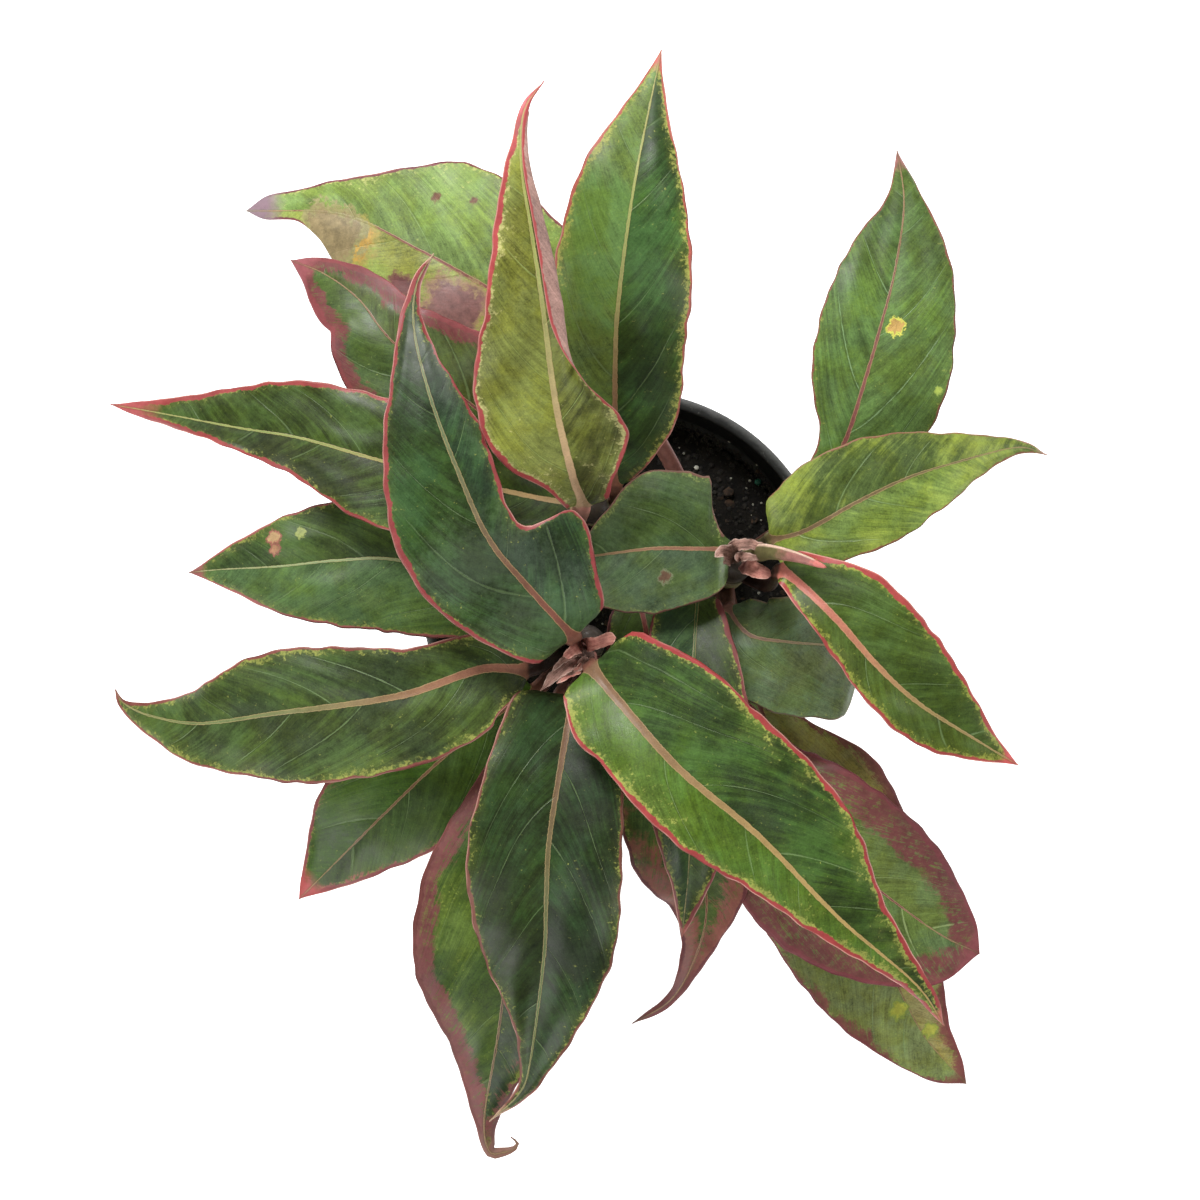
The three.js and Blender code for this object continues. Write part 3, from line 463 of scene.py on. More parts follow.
            "Rib end": (120, 84, 74), "Rib width": 1.0, "Veins": (128, 158, 110),
            "Vein strength": 0.8, "Tip": (158, 106, 100), "Tip start": 0.93,
        },
        "marks": [(92.9, 93.3, 3.2, (186, 150, 84), (196, 196, 84), 0.3),
                  (107.5, 71.0, 1.4, (158, 176, 80), (150, 170, 80), 0.6)],
    },
    {
        "name": "leaf_right_pointed", "slot": "leaf_green", "cane": "right", "joins": 164,
        "petiole": [(50, 19, 188)],
        "blade": [(49, 19, 211), (60, 22, 219), (78, 32, 223), (95, 40, 222), (114, 46, 217),
                  (134, 51, 208), (146, 49, 201)],
        "left": [12, 17, 20, 19, 14, 8, 3.5, 1.5], "right": [8, 12, 16, 18, 14, 7, 3, 1],
        "fold": (5, 5), "sag": 1.5, "wave": (1, 2.5, 0.4),
        "look": {
            "Left half": (80, 99, 49), "Right half": (110, 134, 66), "Stalk": (104, 96, 60),
            "Patch": (142, 158, 72), "Patch amount": 0.6, "Speckle amount": 0.25,
            "Margin": (136, 88, 68), "Margin left": 0.4, "Margin right": 0.55,
            "Edge": (160, 130, 96), "Rib foot": (122, 98, 72), "Rib end": (104, 96, 62),
            "Rib width": 0.8, "Tip": (186, 140, 130), "Tip start": 0.95,
        },
    },
    {
        "name": "leaf_right_front", "slot": "leaf_green", "cane": "right", "joins": 168,
        "petiole": [(49, 4, 188)],
        "blade": [(51, 8, 222), (58, 3, 227), (69, -8, 231), (84, -25, 231), (98, -37, 226),
                  (116, -48, 217), (135, -59, 206)],
        "left": [8, 13, 20, 22, 20, 13, 6, 2], "right": [4, 6, 8, 10, 12, 11, 6, 2],
        "fold": (6, 6), "sag": 1.5, "wave": (1, 2.5, 0.6),
        "look": {
            "Left half": (62, 82, 30), "Right half": (72, 90, 32),
            "Speckle": (152, 158, 68), "Speckle amount": 0.85, "Speckle reach": 7.0,
            "Margin": (164, 70, 67), "Margin left": 1.55, "Margin right": 1.0,
            "Edge": (226, 166, 152), "Rib foot": (190, 112, 98),
            "Rib end": (151, 130, 83), "Rib width": 1.45, "Tip": (198, 90, 88),
            # The dark Stalk colour is painted shade on the petiole's bend.
            "Tip start": 0.92, "Stalk": (74, 46, 38),
        },
    },
    {
        "name": "leaf_centre_creased", "slot": "leaf_dark", "cane": "right", "joins": 166,
        "petiole": [(30, 14, 186)],
        "blade": [(34.5, 15.8, 204), (30, 16, 206.5), (22, 16, 210), (8, 16, 212), (-9, 14, 208),
                  (-24, 12, 201), (-38, 10, 192)],
        "left": [8, 12.5, 16, 20, 22.5, 20, 15, 8, 3],
        "left_places": [0, 0.008, 0.03, 0.1, 0.22, 0.38, 0.55, 0.72, 0.86, 0.95, 1],
        "right": [4.5, 9.5, 15, 24, 25, 26.5, 26, 15, 4, 4, 2.5],
        "right_places": [0, 0.035, 0.075, 0.1, 0.112, 0.14, 0.22, 0.38, 0.55, 0.72, 0.86, 0.95, 1],
        "fold": (3, 3), "sag": 2, "wave": (0.8, 2, 0.1),
        "look": {
            "Left half": (82, 102, 74), "Right half": (64, 86, 46), "Dust": 0.12,
            "Patch": (78, 104, 58), "Speckle": (136, 148, 84), "Speckle amount": 0.45,
            "Speckle reach": 5.0, "Margin": (118, 84, 72), "Margin left": 0.6,
            "Margin right": 0.6, "Edge": (140, 110, 96), "Rib foot": (158, 112, 92),
            "Rib end": (146, 116, 88), "Rib width": 0.8,
        },
        "marks": [(12.3, 6.2, 2.4, (110, 84, 66), (120, 128, 96), 0.5)],
    },
    {
        "name": "leaf_right_blunt", "slot": "leaf_dark", "cane": "right", "joins": 142,
        "petiole": [(37, -3, 160)],
        "blade": [(36, -5, 180), (43, -14, 187), (56, -16.5, 189), (68, -17.5, 186), (79, -18.5, 181),
                  (86, -19.5, 176)],
        "left": [8, 12, 14, 15.5, 16, 13, 10, 7], "right": [6, 13, 19, 25, 26, 26.5, 25.5, 20],
        "fold": (3, 3), "sag": 3, "wave": (1, 2, 0.3),
        "look": {
            "Left half": (90, 106, 77), "Right half": (97, 112, 82), "Dust": 0.15,
            "Patch": (74, 104, 70), "Speckle amount": 0.2, "Margin": (120, 96, 80),
            "Margin left": 0.4, "Margin right": 0.4, "Edge": (140, 130, 104),
            "Rib foot": (146, 108, 96), "Rib end": (140, 128, 104), "Rib width": 0.8,
            "Tip": (110, 104, 84),
        },
    },
    {
        "name": "leaf_centre_narrow", "slot": "leaf_dark", "cane": "right", "joins": 152,
        "petiole": [(29, 4, 172)],
        "blade": [(25, 2, 192), (23, -16, 201), (22, -43, 206), (21, -71, 205), (21, -94, 200),
                  (19, -121, 190)],
        "left": [7, 11, 16, 20, 19, 13, 7, 3], "right": [8, 15, 16, 18, 16, 11, 5, 2],
        "fold": (6, 6), "sag": 1.5, "wave": (1, 2.5, 0.5),
        "look": {
            "Left half": (51, 68, 29), "Right half": (46, 70, 40),
            "Speckle amount": 0.8, "Speckle reach": 7.0, "Margin": (123, 63, 62),
            "Margin left": 1.5, "Margin right": 1.0, "Rib foot": (70, 92, 52),
            "Rib end": (92, 102, 60), "Rib width": 0.55,
        },
    },
    {
        "name": "leaf_front_right_maroon", "slot": "leaf_maroon", "cane": "right", "joins": 132,
        "petiole": [(35, -16, 142)],
        "blade": [(34, -36, 149), (46, -69, 159), (70, -91, 163), (92, -108, 161),
                  (115, -125, 155), (132, -134, 148)],
        "left": [8, 14, 21, 27, 29, 26, 18, 10], "right": [8, 14, 24, 33, 38, 34, 24, 13],
        "fold": (4, 4), "sag": 2.5, "wave": (1.5, 2, 0.2),
        "look": {
            "Left half": (92, 108, 62), "Right half": (86, 108, 64),
            "Patch": (96, 120, 72), "Speckle": (132, 150, 76), "Speckle amount": 0.7,
            "Speckle reach": 20.0, "Blush": (114, 66, 64), "Blush left": 1.1,
            "Blush right": 1.3, "Blush reach": 15.0, "Margin": (124, 64, 68),
            "Margin left": 1.85, "Margin right": 1.85, "Edge": (150, 90, 90),
            "Rib foot": (118, 66, 70), "Rib end": (110, 64, 68), "Rib width": 1.1,
            "Veins": (150, 168, 110), "Tip": (130, 70, 74), "Tip start": 0.95,
        },
        "marks": [(84, -94, 3.4, (150, 120, 80), (140, 140, 80), 0.7)],
    },
    {
        "name": "leaf_front_right_low", "slot": "leaf_maroon", "cane": "right", "joins": 126,
        "petiole": [(42, -14, 136)],
        "blade": [(48, -36, 143), (64, -76, 150), (83, -114, 147), (99, -141, 141),
                  (113, -167, 134), (131, -188, 125)],
        "left": [8, 15, 31, 33, 26, 18, 10, 5], "right": [8, 15, 27, 32, 32, 27, 15, 8],
        "fold": (4, 4), "sag": 2, "wave": (1.5, 2, 0.5),
        "look": {
            "Left half": (156, 146, 96), "Right half": (122, 134, 86),
            "Patch": (120, 142, 84), "Speckle": (136, 154, 80), "Speckle amount": 0.6,
            "Speckle reach": 16.0, "Blush": (122, 74, 66), "Blush left": 0.6,
            "Blush right": 0.4, "Blush reach": 8.0, "Margin": (122, 66, 66),
            "Margin left": 0.95, "Margin right": 0.8, "Edge": (146, 92, 86),
            "Rib foot": (112, 70, 62), "Rib end": (104, 72, 58), "Rib width": 0.8,
            "Tip": (120, 72, 66), "Tip start": 0.96,
        },
        "marks": [(103.2, -157, 3.6, (170, 172, 70), (128, 146, 66), 0.8),
                  (115.5, -165.3, 3.0, (166, 168, 72), (128, 146, 66), 0.8)],
    },
]

BUD_WIDTHS = [2.4, 3, 3.6, 3.8, 3.4, 2.6, 1.7, 1]
BAND_WIDTHS = [1.8, 2, 2.2, 2.3, 2.2, 2.2, 2.1, 1.9]
STRIP_WIDTHS = [1.2, 1.5, 1.7, 1.8, 1.6, 1.3, 1, 0.7]
# Thin scales beside the growing points, stated as leaves are. torn: how ragged the margins are.
# A scale that isn't free stands for the node of its name.
CROWN_SCALES = [
    {"name": "sheath_tip_left", "slot": "scale_pink", "cane": "left", "joins": 188,
     "blade": [(-15, -17, 210), (-14.4, -16.8, 221), (-11.4, -16.2, 227), (-7.7, -14.8, 229.5),
               (-4.6, -14.3, 230)],
     "left": BAND_WIDTHS, "right": BAND_WIDTHS, "fold": (6, 6), "wave": (0.4, 2, 0), "torn": 0.07},
    {"name": "dry_scale_left", "slot": "scale_dry", "cane": "left", "joins": 184,
     "blade": [(-16.5, -20, 208), (-18, -21, 222), (-21.5, -23.6, 229), (-25.6, -27.4, 232),
               (-30, -32, 233)],
     "left": [2, 2.8, 3.2, 3, 2.7, 2.2, 1.4, 0.7], "right": [2, 2.6, 3, 3.2, 2.6, 1.9, 1.6, 0.5],
     "fold": (12, 8), "wave": (0.8, 3, 0.3), "torn": 0.16},
    {"name": "dry_strip_left", "slot": "scale_dry", "cane": "left", "joins": 186, "free": True,
     "blade": [(-16, -18, 212), (-19.5, -20, 226), (-23, -22.4, 231), (-26, -25.4, 232)],
     "left": STRIP_WIDTHS, "right": STRIP_WIDTHS, "fold": (14, 10), "wave": (0.5, 3, 0.6),
     "torn": 0.11},
    {"name": "dry_strip_front", "slot": "scale_dry", "cane": "left", "joins": 185, "free": True,
     "blade": [(-14, -21, 208), (-15, -22.5, 222), (-19, -25.6, 229), (-23.6, -29, 231)],
     "left": STRIP_WIDTHS, "right": STRIP_WIDTHS, "fold": (8, 14), "wave": (0.6, 2, 0.1),
     "torn": 0.11},
    {"name": "pink_wing_front", "slot": "scale_pink", "cane": "left", "joins": 184, "free": True,
     "blade": [(-13, -22, 206), (-15.5, -24, 224), (-20.5, -26.8, 230), (-24.6, -29.6, 231)],
     "left": STRIP_WIDTHS, "right": STRIP_WIDTHS, "fold": (4, 4), "wave": (0.4, 2, 0.5), "torn": 0.15},
    {"name": "pink_chip_left", "slot": "scale_pink", "cane": "left", "joins": 190, "free": True,
     "blade": [(-17, -17, 216), (-18.5, -17.8, 228), (-20.4, -19, 232), (-22.4, -20.6, 232.5)],
     "left": BAND_WIDTHS, "right": STRIP_WIDTHS, "fold": (8, 8), "wave": (0.3, 2, 0.2), "torn": 0.15},
    {"name": "sheath_tip_right", "slot": "scale_pink", "cane": "right", "joins": 188,
     "blade": [(40, 10, 203), (41.5, 9.4, 211), (44.5, 8, 215.5), (48.4, 6.6, 217)],
     "left": [2, 2.6, 3, 3.3, 3, 2.6, 2.2, 1.6], "right": [2, 2.4, 2.8, 3, 2.8, 2.4, 2, 1.4],
     "fold": (6, 6), "wave": (0.5, 2, 0.2), "torn": 0.07},
    {"name": "dry_scale_right", "slot": "scale_dry", "cane": "right", "joins": 184,
     "blade": [(36.5, 13, 205), (34.5, 14, 213), (31.5, 14.6, 219), (29, 13, 221)],
     "left": BUD_WIDTHS, "right": BUD_WIDTHS, "fold": (10, 4), "wave": (0.8, 2, 0.6), "torn": 0.16},
    {"name": "dry_strip_back", "slot": "scale_dry", "cane": "right", "joins": 188, "free": True,
     "blade": [(38, 14, 206), (36, 16.4, 214), (39.5, 17, 218), (46.5, 15.6, 218)],
     "left": BAND_WIDTHS, "right": STRIP_WIDTHS, "fold": (8, 8), "wave": (0.6, 3, 0.1), "torn": 0.16},
    {"name": "dry_strip_centre", "slot": "scale_dry", "cane": "right", "joins": 189, "free": True,
     "blade": [(38.5, 12.6, 206), (38, 13, 214), (40.4, 13, 218.5), (45, 12.4, 219)],
     "left": STRIP_WIDTHS, "right": STRIP_WIDTHS, "fold": (8, 8), "wave": (0.4, 2, 0.4),
     "torn": 0.11},
]


# ---- Making meshes -----------------------------------------------------------------------------


def linked_object(name, data):
    made = bpy.data.objects.new(name, data)
    bpy.context.scene.collection.objects.link(made)
    return made


def new_piece(name, vertices, faces):
    """A smooth mesh object from points in millimetres, placed where those points are."""
    mesh = bpy.data.meshes.new(name)
    mesh.from_pydata((np.asarray(vertices, float) * MM).tolist(), [], [list(f) for f in faces])
    mesh.validate()
    mesh.polygons.foreach_set("use_smooth", [True] * len(mesh.polygons))
    mesh.update()
    return linked_object(name, mesh)


def settled_mesh(piece):
    """A plain mesh of the piece as its modifiers leave it."""
    bpy.context.view_layer.update()
    ready = piece.evaluated_get(bpy.context.evaluated_depsgraph_get())
    return bpy.data.meshes.new_from_object(ready)


def add_values(piece, name, values):
    """A number for each point of the mesh, which a material can read by name."""
    attribute = piece.data.attributes.new(name, "FLOAT", "POINT")
    attribute.data.foreach_set("value", np.asarray(values, np.float32).ravel())


def tube_piece(name, first, rings, last):
    """A closed skin: a point, rings that run anticlockwise seen from the far end, a point."""
    count, around = rings.shape[:2]
    faces = []
    last_number = count * around + 1
    for i in range(around):
        j = (i + 1) % around
        faces.append((0, 1 + j, 1 + i))
        for ring in range(count - 1):
            near = 1 + ring * around
            far = near + around
            faces.append((near + i, near + j, far + j, far + i))
        end = 1 + (count - 1) * around
        faces.append((last_number, end + i, end + j))
    return new_piece(name, np.vstack([first, rings.reshape(-1, 3), last]), faces)


def angles(count):
    return FULL_TURN * np.arange(count) / count


def smooth_at(places, values, at):
    """A smooth curve through values stated at uneven places."""
    places = np.asarray(places, float)
    values = np.asarray(values, float)
    at = np.asarray(at, float)
    before = np.maximum(np.arange(len(places)) - 1, 0)
    after = np.minimum(np.arange(len(places)) + 1, len(places) - 1)
    slopes = (values[after] - values[before]) / (places[after] - places[before])
    i = np.clip(np.searchsorted(places, at, side="left") - 1, 0, len(places) - 2)
    span = places[i + 1] - places[i]
    t = (at - places[i]) / span
    t2 = t * t
    t3 = t2 * t
    return ((2 * t3 - 3 * t2 + 1) * values[i] + (t3 - 2 * t2 + t) * span * slopes[i]
            + (3 * t2 - 2 * t3) * values[i + 1] + (t3 - t2) * span * slopes[i + 1])


def ease(edge, value):
    """Runs smoothly from 0 at 0 to 1 at the edge."""
    t = np.clip(np.asarray(value, float) / edge, 0, 1)
    return t * t * (3 - 2 * t)


def mix(a, b, amount):
    return a + (b - a) * amount


def unit(vectors):
    return vectors / np.linalg.norm(vectors, axis=-1, keepdims=True)


class Spine:
    """A smooth line through points, read by the fraction of its length."""

    def __init__(self, points):
        p = np.array(points, float)
        ends = np.vstack([2 * p[0] - p[1], p, 2 * p[-1] - p[-2]])
        t = (np.arange(CURVE_STEPS) / CURVE_STEPS)[:, None]
        places = []
        slopes = []
        for a, b, c, d in zip(ends, ends[1:], ends[2:], ends[3:]):
            leave = (c - a) / 2
            arrive = (d - b) / 2
            square = 3 * (c - b) - 2 * leave - arrive
            cube = 2 * (b - c) + leave + arrive
            places.append(b + leave * t + square * t**2 + cube * t**3)
            slopes.append(leave + 2 * square * t + 3 * cube * t**2)
        places.append(p[-1:])
        slopes.append((ends[-1] - ends[-3])[None] / 2)
        self.places = np.vstack(places)
        self.slopes = unit(np.vstack(slopes))
        steps = np.linalg.norm(np.diff(self.places, axis=0), axis=1)
        self.reached = np.concatenate([[0], np.cumsum(steps)])
        self.length = self.reached[-1]

    def fraction_at(self, point_number):
        return self.reached[CURVE_STEPS * point_number] / self.length

    def read(self, values, fractions):
        wanted = np.asarray(fractions) * self.length
        return np.stack([np.interp(wanted, self.reached, values[:, k]) for k in range(3)], -1)

    def at(self, fractions):
        return self.read(self.places, fractions)

    def slope_at(self, fractions):
        return unit(self.read(self.slopes, fractions))


def cane_axis_at(cane, height):
    foot = np.array([*cane["foot"], SOIL_TOP - CANE_FOOT_DEPTH], float)
    top = np.array(cane["top"], float)
    return foot + (top - foot) * (height - foot[2]) / (top[2] - foot[2])


def section_points(centre, across, above, out, up):
    """Rings of points round a line: how far out and how far up each point lies from its centre."""
    return (centre[:, None, :] + across[:, None, :] * out[..., None]
            + above[:, None, :] * up[..., None])


# ---- Leaf --------------------------------------------------------------------------------------


def swell(along):
    """0 at both ends of the blade, 1 halfway."""
    return np.sqrt(np.clip(np.sin(np.pi * along), 0, None))


def blade_section(leaf, place, half_width, along):
    """The blade's upper face across the midrib: how far out and how high each place lies."""
    right = place >= 0
    spread = np.abs(place)
    run = spread * half_width
    curls = leaf.get("curl", (0, 0))
    curl = np.radians(np.where(right, curls[1], curls[0])) * ease(CURL_FULL - CURL_FROM,
                                                                 along - CURL_FROM)
    bend = CURL_BEND * half_width
    past = run - CURL_START * half_width
    curled = (curl > LEAST_CURL) & (past > 0)
    safe_curl = np.where(curl > LEAST_CURL, curl, 1)
    turned = np.clip(past / bend, 0, 1) * curl
    straight = np.clip(past - bend, 0, None)
    out = np.where(curled, CURL_START * half_width + bend / safe_curl * np.sin(turned)
                   + straight * np.cos(curl), run)
    rise = np.where(curled, bend / safe_curl * (1 - np.cos(turned)) + straight * np.sin(curl), 0)
    channel = BASE_CHANNEL_ANGLE * np.exp(-along / BASE_CHANNEL_LENGTH)
    fold = np.radians(np.where(right, leaf["fold"][1], leaf["fold"][0]) + channel)
    height, ripples, start = leaf["wave"]
    phase = FULL_TURN * (ripples * along + start + SIDE_PHASE * right)
    soft_out = np.sign(out) * (np.sqrt(out**2 + MIDRIB_ROUNDING**2) - MIDRIB_ROUNDING)
    rise = rise + soft_out * np.tan(fold)
    rise = rise + swell(along) * spread**2 * (height * np.sin(phase) - leaf.get("sag", 0))
    return np.sign(place) * out, rise


def half_widths(leaf, stalk, along, along_mm):
    """The left and the right half-width along a blade, with rippled or torn margins."""
    widths = []
    for half, side in (("left", -1), ("right", 1)):
        stated = [stalk["half_width"], *leaf[half], 0]
        width = smooth_at(leaf.get(half + "_places", WIDTH_PLACES), stated, along)
        slow, slower = MARGIN_RIPPLE_RATES
        ripple = (np.sin(along_mm * slow + side + leaf["joins"])
                  + np.sin(along_mm * slower + 2 * side))
        width = width + MARGIN_RIPPLE * ripple * np.sin(np.pi * along)
        coarse, medium, fine = TEAR_RATES
        tears = np.sin(along_mm * coarse + side) + np.sin(along_mm * medium + 2 * side)
        tears = tears + FINE_TEAR * np.sin(along_mm * fine + leaf["joins"])
        torn = leaf.get("torn", 0) * tears * np.sin(np.pi * np.clip(along, 0, TORN_PART))
        widths.append(np.maximum(width + torn, LEAST_HALF_WIDTH))
    return widths


def vein_number(leaf, run, along_mm, right):
    """Counts the side veins: a whole number on each vein's line."""
    reached = along_mm - VEIN_LEAN * run - VEIN_SWEEP * run**2
    uneven = VEIN_UNEVENNESS * np.sin(reached * VEIN_DRIFT + leaf["joins"] + 2 * right)
    return reached / VEIN_SPACING + uneven + FIRST_VEIN + VEIN_SIDE_SHIFT * right


def undulation(leaf, place, along, run):
    """Slow irregular swells of the blade, different on each leaf."""
    rng = np.random.default_rng(int(leaf["joins"] + 7 * leaf["blade"][-1][2]))
    height = 0
    for _ in range(UNDULATION_COUNT):
        waves = rng.uniform(*UNDULATION_WAVES)
        turns = rng.uniform(*UNDULATION_TURNS)
        phase = rng.uniform(0, TURN_RANGE)
        height = height + np.sin(FULL_TURN * (waves * along + turns * place) + phase)
    return UNDULATION / 2 * height * swell(along) * np.clip(run / UNDULATION_FADE, 0, 1)


def petiole_start(spine, cane, blade_start):
    """The fraction of a leaf's spine at which it comes out of its cane."""
    fractions = np.linspace(0, 1, SPINE_SAMPLES)
    places = spine.at(fractions)
    axis = np.array([cane_axis_at(cane, z) for z in places[:, 2]])
    clear = np.linalg.norm(places[:, :2] - axis[:, :2], axis=1) > cane["radius"][1] - PETIOLE_SINK
    return min(fractions[np.argmax(clear)], PETIOLE_LATEST_START * blade_start)


def leaf_frame(spine, blade_start, start):
    """Each ring's fraction of the spine, its part of the blade, its centre, across and above."""
    blade_part = np.concatenate([BLADE_BASE_RINGS, np.linspace(*BLADE_RING_SPAN, BLADE_RINGS),
                                 BLADE_TIP_RINGS])
    fractions = np.concatenate([
        np.linspace(start, blade_start, PETIOLE_RINGS, endpoint=False),
        mix(blade_start, 1, blade_part),
    ])
    along = np.concatenate([np.zeros(PETIOLE_RINGS), blade_part])[:, None]
    tangent = spine.slope_at(fractions)
    up_axis = np.array([0.0, 0.0, 1.0])
    base_side = unit(np.cross(spine.slope_at(blade_start), up_axis))
    across = base_side - tangent * (tangent @ base_side)[:, None]
    across[PETIOLE_RINGS + 1:] = np.cross(tangent[PETIOLE_RINGS + 1:], up_axis)
    across = unit(across)
    return fractions, along, spine.at(fractions), across, np.cross(across, tangent)


def ring_places():
    """Places round a ring: -1 and 1 are the margins, 0 the midrib, over the top and back under."""
    top = np.concatenate([-np.array(HALF_PLACES[:0:-1]), HALF_PLACES])
    under = top[-2:0:-1]
    place = np.concatenate([top, under])[None, :]
    is_under = np.concatenate([np.zeros(len(top)), np.ones(len(under))])[None, :] > 0
    return place, is_under


def margin_distance(place, half_width, along_mm):
    """How far each place lies from the margin, measured square to the margin."""
    taper = np.gradient(half_width, axis=0) / np.maximum(np.gradient(along_mm, axis=0), LEAST_STEP)
    lean = 1 / np.sqrt(1 + np.clip(taper, -STEEPEST_TAPER, STEEPEST_TAPER) ** 2)
    return (1 - np.abs(place)) * half_width * lean


def vein_relief(vein, edge, run, along):
    """Grooves along the side veins, with the skin a little raised between them."""
    off_vein = np.abs(vein - np.round(vein)) * VEIN_SPACING
    groove = VEIN_GROOVE_DEPTH * np.exp(-((off_vein / VEIN_GROOVE_WIDTH) ** 2))
    quilt = QUILT_HEIGHT * np.sin(np.pi * vein) ** 2 * np.clip(run / QUILT_FADE, 0, 1)
    strength = (np.clip(edge / VEIN_EDGE_FADE, 0, 1) * ease(VEIN_FOOT_FADE, along)
                * (1 - ease(VEIN_TIP_FADE, along - (1 - VEIN_TIP_FADE))))
    return strength * (quilt - groove)


def petiole_section(stalk, place, is_under, reached):
    """The petiole's round section with a channel on top: how far out and up each place lies."""
    angle = (1 - np.abs(place)) * np.pi / 2
    foot = mix(PETIOLE_FOOT_SWELL, 1, ease(PETIOLE_FOOT_PART, reached))[:, None]
    out = np.sign(place) * np.cos(angle) * stalk["half_width"] * foot
    channel = 1 - PETIOLE_CHANNEL_DEPTH * np.exp(-((place / PETIOLE_CHANNEL_WIDTH) ** 2))
    return out, np.sin(angle) * stalk["half_height"] * foot * np.where(is_under, -1, channel)


def leaf_piece(leaf, stalk):
    """A leaf in one skin: a round petiole that flattens into a thin folded blade with veins."""
    cane = CANES[leaf["cane"]]
    petiole = leaf.get("petiole", [])
    spine = Spine([cane_axis_at(cane, leaf["joins"]), *petiole, *leaf["blade"]])
    blade_start = spine.fraction_at(1 + len(petiole))
    start = petiole_start(spine, cane, blade_start)
    fractions, along, centre, across, above = leaf_frame(spine, blade_start, start)
    place, is_under = ring_places()
    right = place >= 0
    along_mm = along * ((1 - blade_start) * spine.length)
    left_width, right_width = half_widths(leaf, stalk, along, along_mm)
    half_width = np.where(right, right_width, left_width)
    edge = margin_distance(place, half_width, along_mm)
    run = np.abs(place) * half_width

    out, rise = blade_section(leaf, place, half_width, along)
    next_out, next_rise = blade_section(leaf, place + SLOPE_STEP, half_width, along)
    slope = np.arctan2(next_rise - rise, next_out - out)
    vein = vein_number(leaf, run, along_mm, right)
    if petiole:
        rise = rise + vein_relief(vein, edge, run, along) + undulation(leaf, place, along, run)
    rib = stalk["rib"] * (1 - MIDRIB_FADE * along) * np.exp(-((run / MIDRIB_SPREAD) ** 2))
    thickness = mix(MARGIN_THICKNESS, LAMINA_THICKNESS, np.clip(edge / THICKNESS_FADE, 0, 1)) + rib
    thickness = np.minimum(thickness, THICKEST_SHARE * half_width)
    out = np.where(is_under, out + thickness * np.sin(slope) * (run > UNDERSIDE_FROM), out)
    rise = np.where(is_under, rise - thickness * np.cos(slope), rise)

    stalk_out, stalk_up = petiole_section(stalk, place, is_under, fractions / blade_start)
    flat = ease(BLADE_MORPH_END, along)
    rings = section_points(centre, across, above, mix(stalk_out, out, flat),
                           mix(stalk_up, rise, flat))
    piece = tube_piece(leaf["name"] + "_grown", spine.at(max(start - FOOT_POINT_STEP, 0)), rings,
                       spine.at(1))

    # what the skin reads: each value on the rings, at the first point and at the last
    below = np.clip(1 - fractions / blade_start, 0, 1)[:, None]
    for name, values, at_first, at_last in (
            ("along", along, 0, 1),
            ("rib_mm", np.sign(place) * run * flat, 0, 0),
            ("edge_mm", mix(STALK_EDGE, edge, flat), STALK_EDGE, 0),
            ("vein", vein, 0, 0),
            ("stalk", 1 - flat + below, 1 + below[0, 0], 0),
            ("under", is_under * 1.0, 0, 0)):
        on_rings = np.broadcast_to(values, rings.shape[:2]).ravel()
        add_values(piece, name, np.concatenate([[at_first], on_rings, [at_last]]))
    return piece


# ---- Node trees --------------------------------------------------------------------------------

SOCKET_KINDS = {
    "colour": "NodeSocketColor", "number": "NodeSocketFloat", "vector": "NodeSocketVector",
    "count": "NodeSocketInt", "shape": "NodeSocketGeometry", "skin": "NodeSocketMaterial",
}
NOISE_MIDDLE_SPAN = (0.3, 0.7)


def shade(red, green, blue):
    """A display colour as the linear colour a shader wants."""
    def linear(value):
        part = value / 255
        return part / 12.92 if part <= 0.04045 else ((part + 0.055) / 1.055) ** 2.4
    return (linear(red), linear(green), linear(blue), 1.0)


